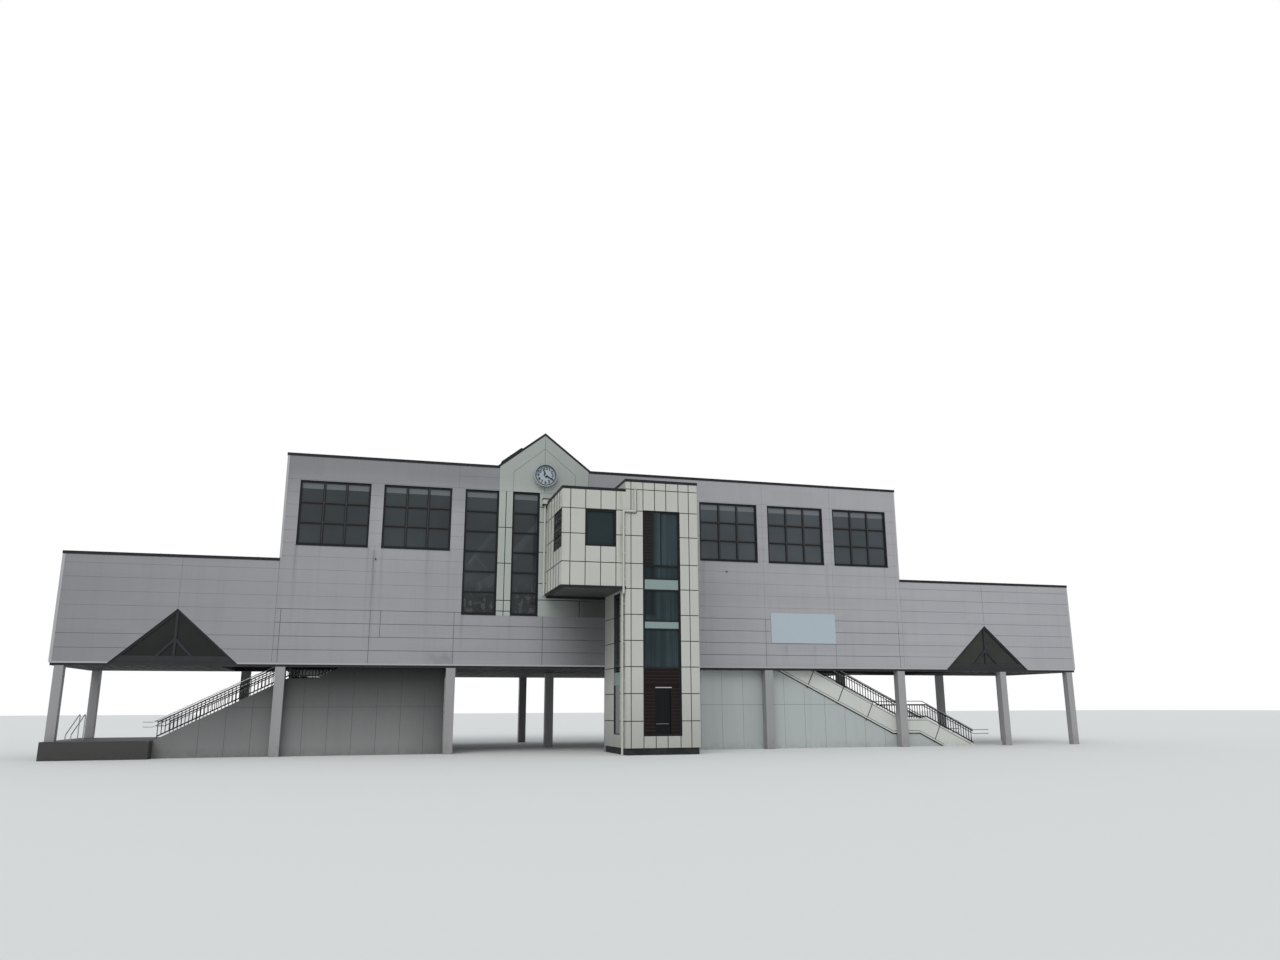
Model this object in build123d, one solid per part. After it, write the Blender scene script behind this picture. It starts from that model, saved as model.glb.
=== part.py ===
"""Railway station building on columns, a half size model of the real one.

Sizes below are the real building's, in metres. x runs along the front from its left end,
y runs back from the face of the front wall, and z is the height above the ground.
"""
from build123d import *
import math
import os

os.makedirs("parts", exist_ok=True)

# Scale and origin
SCALE = 0.5
MM = 1000 * SCALE

# Main body
LENGTH = 50.75
HALL_X0 = 8.72
HALL_X1 = 40.15
HALL_DEPTH = 14.4
WING_DEPTH = 6.4
WALL = 0.3
SOFFIT = 4.0
BEAM = 0.15
WING_TOP = 8.69
HALL_TOP = 13.63
COPING = 0.13
LIP = 0.04
SLAB = 0.2
PARAPET = 0.4

# Gable over the passage
GABLE_X0 = 18.54
GABLE_X1 = 23.0
RIDGE = 15.44
RIDGE_X = 20.75
RAKE_X0 = 18.43
RAKE_X1 = 23.07
GABLE_ROOF_LEG = 0.2
GABLE_ROOF_T = 0.26
UPSTAND_STRIP = (18.6, 19.55, 0.09)

# Concourse level
FLOOR = 7.5
FLOOR_T = 0.3
STAIR_Y0 = 0.5
STAIR_Y1 = 3.5

# Windows
PANE_Z0 = 9.35
PANE_Z1 = 12.36
PANE_W = 3.17
PANE_PITCH = 3.76
SIDE_MARGIN = 0.63
TALL_Z0 = 6.35
TALL_WINDOWS = [(16.91, GABLE_X0), (19.2, 20.54)]
FRAME = 0.09
BAR = 0.06
FRAME_FRONT = 0.06
FRAME_DEPTH = 0.14
BAR_DEPTH = 0.06
GLASS = 0.03
TRIANGLE_APEX_Z = 6.31
LEFT_TRIANGLE = (2.23, 4.72, 7.28)
RIGHT_TRIANGLE = (42.7, 45.18, 47.66)
TRIANGLE_SILL = 0.28
TRIANGLE_BAR = 0.1
CHEVRON_HALF = 0.76
CHEVRON_TOP = 1.08

# Columns
PILLAR = 0.42
THIN_PILLAR = 0.36
FRONT_PILLARS = [8.9, 16.34, 23.95, 32.2, 39.7]
REAR_PILLARS = [9.1, 16.32, 21.9, 32.18, 39.33]
MIDDLE_PILLARS = [6.85, 9.1, 16.32, 22.08, 32.18, 39.33]
WING_PILLARS = [0.2, 45.94, 50.2]
BEAM_INSET = 0.02
PASSAGE_CEILING = (16.9, 31.4)
WING_CEILING_X1 = 6.6
WING_CEILING_X0 = 43.6

# Raised ground at the left, which the left stairs start from
PLATFORM_X0 = 0.1
PLATFORM_Y0 = -0.3
PLATFORM_Y1 = 5.9
PLATFORM_TOP = 0.75
PLATFORM_WALL = 0.25
PLATFORM_SLAB = 0.2

# Glazed bay and lift tower, which stand in front of the wall
OUT = -3.85
SKIN = 0.2
BAY_X0 = 20.93
BAY_Z0 = 7.3
BAY_TOP = 11.92
BAY_WINDOW = (22.0, 23.43, 9.18, 10.89)
BAY_SIDE_WINDOW = (-3.78, -1.92, 9.12, 10.93)
TOWER_X0 = 23.9
TOWER_X1 = 27.35
TOWER_TOP = 12.4
PLINTH = 0.3
STRIP_X0 = 24.72
STRIP_X1 = 26.5
STRIP_Z0 = 0.8
STRIP_Z1 = 10.95
STRIP_SET_BACK = 0.05
STRIP_BARS = [8.38, 7.78, 7.27, 5.86, 5.5, 3.76]
LOUVRE_X1 = 25.59
BASE_WINDOW = (25.27, 26.06, 0.89, 2.88)
SIDE_STRIP = (-2.88, -1.72, 0.84, 7.2)
SIDE_BAND = (3.03, 3.6)
TOWER_DOOR = (25.0, 26.2, 2.4)
LOBBY_DOOR = (21.75, 22.85, 2.4)
SLIM_FRAME = 0.05
SLIM_GLASS = 0.02
SLIM_SET_BACK = 0.01

# Clock: its drum, the recess that holds the dial, and the hands on one pin
CLOCK_SHIFT = 0.01
CLOCK_Z = 13.22
CLOCK_R = 0.575
DIAL_R = 0.52
CLOCK_FRONT = -0.3
RECESS_Y = -0.2
DIAL_T = 0.02
PIN_R = 0.02
HUB_HOLE_R = 0.021
HUB_R = 0.045
CAP_R = 0.035
HAND_T = 0.012
HAND_GAP = 0.012
HOUR_LENGTH = 0.3
MINUTE_LENGTH = 0.45
HOUR_HALF = 0.042
MINUTE_HALF = 0.034
HAND_TAIL = 0.11
HAND_TAPER = 0.45
HOUR_TURN = 340
MINUTE_TURN = 120

# Stairs: each list has the foot of every flight and its number of steps. The band along a side
# rises a little over the steps, and less over a landing, so that it keeps its width.
GOING = 0.3
RISE = 0.15
SLOPE = RISE / GOING
WAIST = 0.22
STRING = 0.15
UPSTAND = 0.15
LANDING_UPSTAND = 0.07
DROP = 0.82
LANDING_DROP = 0.65
LEAD = 0.3
LEFT_STEPS = [(4.5, 17), (10.8, 15), (16.5, 13)]
RIGHT_STEPS = [(44.12, 9), (39.85, 22), (32.05, 19)]
SIDE_WALL_RECESS = 0.05
RAIL_H = 0.74
RAIL_SET_BACK = 0.1
RAIL_FOOT = 0.08
BAR_PITCH = 0.15
RAIL_T = 0.06
BAR_T = 0.03
BARS_PER_POST = 10
RIGHT_WALL_X0 = 27.0

# Pipes and signs
PIPE_R = 0.05
PIPE_OUT = 0.05
TOWER_PIPE_X = (23.77, 24.33)
TOWER_PIPE_BEND_Z = 10.87
TOWER_PIPE_TOP = 11.9
TOWER_PIPE_STEP_Z = 7.1
TOWER_PIPE_LOW_Y = -3.72
PIPE_TIES = (1.5, 3.2, 4.9, 6.6)
TIE_H = 0.05
WALL_PIPE_X = 20.79
HOPPER = (20.66, 20.87, -0.28, 11.74, 12.04)
HOPPER_ARM = (21.1, 11.93)
SIGN = (32.6, 36.2, 5.21, 6.74)
SIGN_T = 0.05

GAP = 0.004
FRONT_Y = OUT - PIPE_OUT - 2 * PIPE_R
BACK_Y = HALL_DEPTH + LIP
MID_X = LENGTH / 2
MID_Y = (FRONT_Y + BACK_Y) / 2


def at(x, y, z):
    """A point of the real building, as a point of the model."""
    return Vector((x - MID_X) * MM, (y - MID_Y) * MM, z * MM)


def block(x0, x1, y0, y1, z0, z1):
    """A plain rectangular piece between two corners."""
    size = Box((x1 - x0) * MM, (y1 - y0) * MM, (z1 - z0) * MM, align=(Align.MIN,) * 3)
    return Pos(at(x0, y0, z0)) * size


def plate(outline, y0, y1):
    """A piece with an x, z outline that runs from y0 back to y1."""
    face = make_face(Polyline(*[at(x, y0, z) for x, z in outline], close=True))
    return extrude(face, (y1 - y0) * MM, dir=(0, 1, 0))


def save(name, *solids):
    """Write one sub-part, whose solids do not touch each other."""
    group = Compound(children=[s for item in solids for s in item.solids()])
    group.label = name
    export_step(group, f"parts/{name}.step")


def framed_window(x0, x1, z0, z1, y, columns, rows, facing=1, frame=FRAME, glass_at=BAR_DEPTH):
    """Frame and bars of a window whose outer side is at y, and the glass behind the bars."""
    back = y + facing * FRAME_DEPTH
    bars_back = y + facing * glass_at
    glass_back = bars_back + facing * GLASS
    outer = block(x0, x1, min(y, back), max(y, back), z0, z1)
    inner = (x0 + frame, x1 - frame, z0 + frame, z1 - frame)
    ring = outer - block(inner[0], inner[1], y - 1, y + 1, inner[2], inner[3])
    for i in range(1, columns):
        middle = inner[0] + (inner[1] - inner[0]) * i / columns
        ring += block(middle - BAR / 2, middle + BAR / 2, min(y, bars_back), max(y, bars_back),
                      inner[2], inner[3])
    for i in range(1, rows):
        middle = inner[2] + (inner[3] - inner[2]) * i / rows
        ring += block(inner[0], inner[1], min(y, bars_back), max(y, bars_back),
                      middle - BAR / 2, middle + BAR / 2)
    glass = block(inner[0], inner[1], min(bars_back, glass_back), max(bars_back, glass_back),
                  inner[2], inner[3])
    return ring, glass


def turned_to_side(piece, x_face, y_middle, outward):
    """Turn a window that was made facing the front, at x = 0 and y = 0, to a side wall."""
    angle = -90 if outward < 0 else 90
    home = at(0, 0, 0)
    turned = Rot(0, 0, angle) * (Pos(-home) * piece)
    return Pos(at(x_face, y_middle, 0)) * turned


# Windows of the hall: two big ones at the left of the front wall, and three at its right
LEFT_BIG = [HALL_X0 + SIDE_MARGIN + i * PANE_PITCH for i in range(2)]
RIGHT_BIG = [HALL_X1 - SIDE_MARGIN - PANE_W - i * PANE_PITCH for i in range(3)]


def roof_line(x, top):
    """Height of the gable's slope above x, for a ridge at the height top."""
    fall = (RIDGE - HALL_TOP) / (RIDGE_X - RAKE_X0)
    return top - abs(x - RIDGE_X) * fall


def wall_openings(y0, y1, windows, z0, z1):
    """The holes for a row of windows through a wall."""
    return [block(a, b, y0, y1, z0, z1) for a, b in windows]


def make_wings():
    wall_top = WING_TOP - COPING
    roof_top = wall_top - PARAPET
    left = plate([(0, SOFFIT), (LEFT_TRIANGLE[0], SOFFIT), (LEFT_TRIANGLE[1], TRIANGLE_APEX_Z),
                  (LEFT_TRIANGLE[2], SOFFIT), (HALL_X0, SOFFIT), (HALL_X0, wall_top),
                  (0, wall_top)], 0, WALL)
    save("left_wing_front_wall", left)
    right = plate([(HALL_X1, SOFFIT), (RIGHT_TRIANGLE[0], SOFFIT),
                   (RIGHT_TRIANGLE[1], TRIANGLE_APEX_Z), (RIGHT_TRIANGLE[2], SOFFIT),
                   (LENGTH, SOFFIT), (LENGTH, wall_top), (HALL_X1, wall_top)], 0, WALL)
    save("right_wing_front_wall", right)
    back = WING_DEPTH - WALL
    save("wing_end_walls",
         block(0, WALL, WALL, back, SOFFIT, wall_top),
         block(LENGTH - WALL, LENGTH, WALL, back, SOFFIT, wall_top))
    save("wing_rear_walls",
         block(0, HALL_X0, back, WING_DEPTH, SOFFIT, wall_top),
         block(HALL_X1, LENGTH, back, WING_DEPTH, SOFFIT, wall_top))
    save("wing_roofs",
         block(WALL, HALL_X0, WALL, back, roof_top - SLAB, roof_top),
         block(HALL_X1, LENGTH - WALL, WALL, back, roof_top - SLAB, roof_top))
    z0 = wall_top
    bars = []
    for x0, x1, end in ((-LIP, HALL_X0, -1), (HALL_X1, LENGTH + LIP, 1)):
        bars.append(block(x0, x1, -LIP, WALL + LIP, z0, WING_TOP))
        bars.append(block(x0, x1, back - LIP, WING_DEPTH + LIP, z0, WING_TOP))
        end_x = x0 if end < 0 else x1 - WALL - 2 * LIP
        bars.append(block(end_x, end_x + WALL + 2 * LIP, WALL + LIP + GAP, back - LIP - GAP,
                          z0, WING_TOP))
    save("wing_copings", *bars)


def make_hall_walls():
    wall_top = HALL_TOP - COPING
    left_windows = [(x, x + PANE_W) for x in LEFT_BIG]
    right_windows = [(x, x + PANE_W) for x in RIGHT_BIG]
    back = HALL_DEPTH - WALL
    for side, y0 in (("front", 0), ("rear", back)):
        y1 = y0 + WALL
        left = block(HALL_X0, GABLE_X0, y0, y1, SOFFIT, wall_top)
        right = block(GABLE_X1, HALL_X1, y0, y1, SOFFIT, wall_top)
        for hole in wall_openings(y0, y1, left_windows, PANE_Z0, PANE_Z1):
            left -= hole
        for hole in wall_openings(y0, y1, right_windows, PANE_Z0, PANE_Z1):
            right -= hole
        left -= block(*TALL_WINDOWS[0], y0, y1, TALL_Z0, PANE_Z1)
        save(f"hall_{side}_walls", left, right)
        peak = RIDGE - COPING
        gable = plate([(GABLE_X0, SOFFIT), (GABLE_X1, SOFFIT), (GABLE_X1, roof_line(GABLE_X1, peak)),
                       (RIDGE_X, peak), (GABLE_X0, roof_line(GABLE_X0, peak))], y0, y1)
        gable -= block(*TALL_WINDOWS[1], y0, y1, TALL_Z0, PANE_Z1)
        if side == "front":
            door_x0, door_x1, door_h = LOBBY_DOOR
            gable -= block(door_x0, door_x1, y0, y1, FLOOR, FLOOR + door_h)
        save(f"gable_{side}_wall", gable)


def make_hall_ends():
    wall_top = HALL_TOP - COPING
    wing_roof_low = WING_TOP - COPING - PARAPET - SLAB
    back = HALL_DEPTH - WALL
    wing_back = WING_DEPTH - WALL
    uppers = []
    lowers = []
    middle = HALL_DEPTH / 2
    for x0 in (HALL_X0, HALL_X1 - WALL):
        upper = block(x0, x0 + WALL, WALL, back, wing_roof_low, wall_top)
        upper -= block(x0, x0 + WALL, middle - PANE_W / 2, middle + PANE_W / 2, PANE_Z0, PANE_Z1)
        uppers.append(upper)
        lowers.append(block(x0, x0 + WALL, wing_back, back, SOFFIT, wing_roof_low))
    save("hall_end_walls", *uppers)
    save("hall_end_walls_lower", *lowers)


def make_hall_roof():
    wall_top = HALL_TOP - COPING
    roof_top = wall_top - PARAPET
    back = HALL_DEPTH - WALL
    x0 = HALL_X0 + WALL
    x1 = HALL_X1 - WALL
    save("hall_roof",
         block(x0, GABLE_X0, WALL, back, roof_top - SLAB, roof_top),
         block(GABLE_X1, x1, WALL, back, roof_top - SLAB, roof_top))
    peak = RIDGE - COPING
    low = roof_top - SLAB
    inner_peak = peak - GABLE_ROOF_T
    inner_x0 = GABLE_X0 + GABLE_ROOF_LEG
    inner_x1 = GABLE_X1 - GABLE_ROOF_LEG
    roof = plate([(GABLE_X0, low), (inner_x0, low), (inner_x0, roof_line(inner_x0, inner_peak)),
                  (RIDGE_X, inner_peak), (inner_x1, roof_line(inner_x1, inner_peak)),
                  (inner_x1, low), (GABLE_X1, low), (GABLE_X1, roof_line(GABLE_X1, peak)),
                  (RIDGE_X, peak), (GABLE_X0, roof_line(GABLE_X0, peak))], WALL, back)
    save("gable_roof", roof)


def make_hall_copings():
    z0 = HALL_TOP - COPING
    strip_x0, strip_x1, strip_h = UPSTAND_STRIP
    bars = []
    rakes = []
    for y0 in (-LIP, HALL_DEPTH - WALL - LIP):
        y1 = y0 + WALL + 2 * LIP
        bars.append(block(HALL_X0 - LIP, RAKE_X0 - GAP, y0, y1, z0, HALL_TOP))
        bars.append(block(RAKE_X1 + GAP, HALL_X1 + LIP, y0, y1, z0, HALL_TOP))
        under = RIDGE - COPING
        rakes.append(plate([(RAKE_X0, roof_line(RAKE_X0, under)), (RIDGE_X, under),
                            (RAKE_X1, roof_line(RAKE_X1, under)),
                            (RAKE_X1, roof_line(RAKE_X1, RIDGE)), (RIDGE_X, RIDGE),
                            (strip_x1 + strip_h, roof_line(strip_x1 + strip_h, RIDGE)),
                            (strip_x1, roof_line(strip_x1, RIDGE) + strip_h),
                            (strip_x0, roof_line(strip_x0, RIDGE) + strip_h),
                            (strip_x0, roof_line(strip_x0, RIDGE)),
                            (RAKE_X0, roof_line(RAKE_X0, RIDGE))], y0, y1))
    for x0 in (HALL_X0 - LIP, HALL_X1 - WALL - LIP):
        bars.append(block(x0, x0 + WALL + 2 * LIP, WALL + LIP + GAP,
                          HALL_DEPTH - WALL - LIP - GAP, z0, HALL_TOP))
    save("hall_copings", *bars)
    save("gable_copings", *rakes)


def make_windows():
    frames = []
    panes = []
    for x in LEFT_BIG + RIGHT_BIG:
        frame, glass = framed_window(x, x + PANE_W, PANE_Z0, PANE_Z1, FRAME_FRONT, 3, 3)
        frames.append(frame)
        panes.append(glass)
    for x0, x1 in TALL_WINDOWS:
        frame, glass = framed_window(x0, x1, TALL_Z0, PANE_Z1, FRAME_FRONT, 1, 6)
        frames.append(frame)
        panes.append(glass)
    save("front_window_frames", *frames)
    save("front_window_glass", *panes)
    frames = []
    panes = []
    outside = HALL_DEPTH - FRAME_FRONT
    for x in LEFT_BIG + RIGHT_BIG:
        frame, glass = framed_window(x, x + PANE_W, PANE_Z0, PANE_Z1, outside, 3, 3, -1)
        frames.append(frame)
        panes.append(glass)
    for x0, x1 in TALL_WINDOWS:
        frame, glass = framed_window(x0, x1, TALL_Z0, PANE_Z1, outside, 1, 6, -1)
        frames.append(frame)
        panes.append(glass)
    for x_face, outward in ((HALL_X0, -1), (HALL_X1, 1)):
        frame, glass = framed_window(-PANE_W / 2, PANE_W / 2, PANE_Z0, PANE_Z1, FRAME_FRONT, 3, 3)
        frames.append(turned_to_side(frame, x_face, HALL_DEPTH / 2, outward))
        panes.append(turned_to_side(glass, x_face, HALL_DEPTH / 2, outward))
    save("rear_window_frames", *frames)
    save("rear_window_glass", *panes)


def inset_triangle(x0, x1, apex_x, apex_z, inset):
    """The outline of a triangle window, moved in from its three sides by inset."""
    half = (x1 - x0) / 2
    height = apex_z - SOFFIT
    slope = math.hypot(half, height)
    foot = inset * (slope + half) / height
    top = inset * slope / half
    return [(x0 + foot, SOFFIT + inset), (x1 - foot, SOFFIT + inset), (apex_x, apex_z - top)]


def make_triangle_windows():
    frames = []
    panes = []
    y = FRAME_FRONT
    for x0, apex_x, x1 in (LEFT_TRIANGLE, RIGHT_TRIANGLE):
        middle = (x0 + x1) / 2
        outer = plate([(x0, SOFFIT), (x1, SOFFIT), (apex_x, TRIANGLE_APEX_Z)], y, y + FRAME_DEPTH)
        inner_line = inset_triangle(x0, x1, middle, TRIANGLE_APEX_Z, FRAME)
        inner = plate(inner_line, y - 1, y + 1)
        ring = outer - inner
        bars_back = y + BAR_DEPTH
        sill = SOFFIT + TRIANGLE_SILL
        peak = SOFFIT + CHEVRON_TOP
        thick = TRIANGLE_BAR * math.hypot(CHEVRON_HALF, peak - sill) / (peak - sill)
        drop = thick * (peak - sill) / CHEVRON_HALF
        bars = block(apex_x - TRIANGLE_BAR / 2, apex_x + TRIANGLE_BAR / 2, y, bars_back,
                     SOFFIT + FRAME, TRIANGLE_APEX_Z)
        bars += block(x0, x1, y, bars_back, SOFFIT, sill)
        bars += plate([(apex_x - CHEVRON_HALF, sill), (apex_x - CHEVRON_HALF + thick, sill),
                       (apex_x, peak - drop), (apex_x + CHEVRON_HALF - thick, sill),
                       (apex_x + CHEVRON_HALF, sill), (apex_x, peak)], y, bars_back)
        frames.append(ring + (bars & inner))
        panes.append(plate(inner_line, bars_back, bars_back + GLASS))
    save("triangle_window_frames", *frames)
    save("triangle_window_glass", *panes)


def make_supports():
    z1 = SOFFIT - BEAM
    rear_y = HALL_DEPTH - PILLAR
    middle_y = WING_DEPTH - PILLAR
    thin_y = WING_DEPTH - THIN_PILLAR
    save("front_pillars",
         *[block(x, x + PILLAR, 0, PILLAR, 0, z1) for x in FRONT_PILLARS],
         *[block(x, x + THIN_PILLAR, 0, THIN_PILLAR, 0, z1) for x in WING_PILLARS])
    save("rear_pillars",
         *[block(x, x + PILLAR, rear_y, HALL_DEPTH, 0, z1) for x in REAR_PILLARS],
         *[block(x, x + PILLAR, middle_y, WING_DEPTH, 0, z1) for x in MIDDLE_PILLARS],
         *[block(x, x + THIN_PILLAR, thin_y, WING_DEPTH, 0, z1) for x in WING_PILLARS])
    left_end = BEAM_INSET
    right_end = LENGTH - BEAM_INSET
    save("edge_beams",
         block(left_end, right_end, BEAM_INSET, PILLAR, z1, SOFFIT),
         block(left_end, HALL_X0, middle_y, WING_DEPTH - BEAM_INSET, z1, SOFFIT),
         block(HALL_X1, right_end, middle_y, WING_DEPTH - BEAM_INSET, z1, SOFFIT),
         block(HALL_X0 + BEAM_INSET, HALL_X1 - BEAM_INSET, rear_y, HALL_DEPTH - BEAM_INSET, z1, SOFFIT))


def make_platform():
    """A hollow plinth: four walls and a slab, with a notch around the corner column."""
    x1 = LEFT_STEPS[0][0] - LEAD
    whole = block(PLATFORM_X0, x1, PLATFORM_Y0, PLATFORM_Y1, 0, PLATFORM_TOP)
    whole -= block(PLATFORM_X0 + PLATFORM_WALL, x1 - PLATFORM_WALL, PLATFORM_Y0 + PLATFORM_WALL,
                   PLATFORM_Y1 - PLATFORM_WALL, -1, PLATFORM_TOP - PLATFORM_SLAB)
    column = WING_PILLARS[0]
    whole -= block(column - GAP, column + THIN_PILLAR + GAP, -GAP, THIN_PILLAR + GAP, -1, PLATFORM_TOP + 1)
    save("low_plinth_wall", whole)


def make_floors():
    z0 = SOFFIT - BEAM
    inner_x0 = HALL_X0 + WALL
    inner_x1 = HALL_X1 - WALL
    back = HALL_DEPTH - PILLAR
    middle_y = WING_DEPTH - PILLAR
    save("undercroft_ceiling",
         block(inner_x0, inner_x1, STAIR_Y1, back, z0, SOFFIT),
         block(*PASSAGE_CEILING, PILLAR, STAIR_Y1 - GAP, z0, SOFFIT))
    save("wing_ceilings",
         block(BEAM_INSET, WING_CEILING_X1, PILLAR, middle_y, z0, SOFFIT),
         block(WING_CEILING_X0, LENGTH - BEAM_INSET, PILLAR, middle_y, z0, SOFFIT))
    left_x = stair_line(LEFT_STEPS, 1, PLATFORM_TOP)[-1][1][0]
    right_x = stair_line(RIGHT_STEPS, -1, 0)[-1][1][0]
    save("concourse_floor",
         block(inner_x0, inner_x1, STAIR_Y1, HALL_DEPTH - WALL, FLOOR - FLOOR_T, FLOOR),
         block(left_x, right_x, WALL, STAIR_Y1 - GAP, FLOOR - FLOOR_T, FLOOR))


def stair_line(steps, direction, z):
    """Start, end and step count of each flight from height z, on the line through the inner corners."""
    flights = []
    for x, count in steps:
        end = (x + direction * count * GOING, z + count * RISE)
        flights.append(((x, z), end, count))
        z = end[1]
    return flights


def corner_points(flights):
    """The x, z points where the stair line bends, from the ground up."""
    points = []
    for start, end, _ in flights:
        points += [start, end]
    return points


def parallel_line(flights, direction, rise, landing_rise):
    """A line over the whole stair that lies rise above the flights and landing_rise above landings."""
    shift = direction * (landing_rise - rise) / SLOPE
    first, *bends, last = corner_points(flights)
    start = (first[0] - direction * LEAD, first[1] + rise - LEAD * SLOPE)
    return [start] + [(x + shift, z + landing_rise) for x, z in bends] + [(last[0], last[1] + rise)]


def height_on(points, x):
    """Height of a line of points above x."""
    for (xa, za), (xb, zb) in zip(points, points[1:]):
        if min(xa, xb) <= x <= max(xa, xb):
            return za + (zb - za) * (x - xa) / (xb - xa)
    return points[0][1]


def make_treads(flights, direction):
    """One wedge for each step, which sits on the flight's slab."""
    y0 = STAIR_Y0 + STRING
    y1 = STAIR_Y1 - STRING
    treads = []
    for (x, z), _, count in flights:
        for i in range(count):
            foot = x + direction * (i * GOING + GAP)
            low = z + i * RISE + GAP * SLOPE
            top = z + (i + 1) * RISE
            nose = x + direction * (i + 1) * GOING
            treads.append(plate([(foot, low), (foot, top), (nose, top)], y0, y1))
    return treads


def make_slabs(flights, direction):
    """The sloping slab under each flight, and the level slab of each landing."""
    y0 = STAIR_Y0 + STRING
    y1 = STAIR_Y1 - STRING
    slabs = []
    landings = []
    for (x, z), (end_x, end_z), _ in flights:
        if z == 0:
            outline = [(x, 0), (end_x, end_z), (end_x, end_z - WAIST), (x + direction * WAIST / SLOPE, 0)]
        else:
            outline = [(x, z), (end_x, end_z), (end_x, end_z - WAIST), (x, z - WAIST)]
            if (x, z) == flights[0][0]:
                lead_x = x - direction * LEAD
                outline += [(lead_x, z - WAIST), (lead_x, z)]
        slabs.append(plate(outline, y0, y1))
    for lower, upper in zip(flights, flights[1:]):
        x0, x1 = sorted((lower[1][0], upper[0][0]))
        landings.append(block(x0, x1, y0, y1, lower[1][1] - WAIST, lower[1][1]))
    return slabs, landings


def string_outline(flights, direction):
    """Outline of the band along a stair's side, from the ground to the concourse."""
    top = parallel_line(flights, direction, UPSTAND, LANDING_UPSTAND)
    bottom = parallel_line(flights, direction, -DROP, -LANDING_DROP)[1:]
    foot_x, foot_z = flights[0][0]
    outline = top + bottom[::-1] + [(foot_x + direction * (DROP - foot_z) / SLOPE, 0)]
    if top[0][1] > 0:
        outline.append((top[0][0], 0))
    return outline


def make_stairs():
    left = stair_line(LEFT_STEPS, 1, PLATFORM_TOP)
    right = stair_line(RIGHT_STEPS, -1, 0)
    save("stair_treads", *make_treads(left, 1), *make_treads(right, -1))
    left_slabs, left_landings = make_slabs(left, 1)
    right_slabs, right_landings = make_slabs(right, -1)
    save("stair_slabs", *left_slabs, *right_slabs)
    save("stair_landings", *left_landings, *right_landings)

    front = (STAIR_Y0, STAIR_Y0 + STRING)
    rear = (STAIR_Y1 - STRING, STAIR_Y1)
    under_beam = SOFFIT - BEAM
    left_string = string_outline(left, 1)
    right_string = string_outline(right, -1)
    edge = parallel_line(left, 1, UPSTAND, LANDING_UPSTAND)[:3]
    meet_x = edge[2][0] + (under_beam - edge[2][1]) / SLOPE
    side_x1 = FRONT_PILLARS[1]
    wall = [(edge[0][0], 0), *edge, (meet_x, under_beam), (side_x1, under_beam), (side_x1, 0)]
    save("left_stair_side_wall", plate(wall, *front))
    upper = plate(left_string, *front) & block(meet_x, LENGTH, *front, under_beam, HALL_TOP)
    save("left_stair_strings", upper, plate(left_string, *rear))
    save("right_stair_strings", plate(right_string, *front), plate(right_string, *rear))

    edge = parallel_line(right, -1, -DROP, -LANDING_DROP)[1:5]
    foot_x = right[0][0][0] - DROP / SLOPE
    meet_x = edge[3][0] - (under_beam - edge[3][1]) / SLOPE
    wall = [(RIGHT_WALL_X0, 0), (foot_x, 0), *edge, (meet_x, under_beam), (RIGHT_WALL_X0, under_beam)]
    save("right_stair_side_wall", plate(wall, STAIR_Y0 + SIDE_WALL_RECESS, STAIR_Y0 + STRING))


def railing(points, y0):
    """Upright bars between two rails, on posts that stand on a side band with its top at points."""
    y1 = y0 + RAIL_T
    bar_y0 = (y0 + y1 - BAR_T) / 2
    low = RAIL_FOOT
    high = RAIL_H - RAIL_T
    rails = [(x, z + low) for x, z in points] + [(x, z + low + RAIL_T) for x, z in points[::-1]]
    whole = plate(rails, y0, y1)
    rails = [(x, z + high) for x, z in points] + [(x, z + high + RAIL_T) for x, z in points[::-1]]
    bars = [plate(rails, y0, y1)]
    inside = RAIL_T / 2
    x0 = min(points[0][0], points[-1][0])
    x1 = max(points[0][0], points[-1][0])
    for i in range(int((x1 - x0 - BAR_T) / BAR_PITCH) + 1):
        x = x0 + i * BAR_PITCH
        left_z = height_on(points, x)
        right_z = height_on(points, x + BAR_T)
        foot = 0 if i % BARS_PER_POST == 0 else low + inside
        bar = [(x, left_z + foot), (x + BAR_T, right_z + foot),
               (x + BAR_T, right_z + high + inside), (x, left_z + high + inside)]
        bars.append(plate(bar, bar_y0, bar_y0 + BAR_T))
    return whole.fuse(*bars)


def make_railings():
    front = STAIR_Y0 + (STRING - RAIL_T) / 2
    rear = STAIR_Y1 - (STRING + RAIL_T) / 2
    for side, steps, direction, foot_z in (("left", LEFT_STEPS, 1, PLATFORM_TOP),
                                           ("right", RIGHT_STEPS, -1, 0)):
        points = parallel_line(stair_line(steps, direction, foot_z), direction, UPSTAND, LANDING_UPSTAND)
        foot_x, low_z = points[0]
        points[0] = (foot_x + direction * RAIL_SET_BACK, low_z + RAIL_SET_BACK * SLOPE)
        save(f"{side}_stair_railings", railing(points, front), railing(points, rear))


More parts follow.
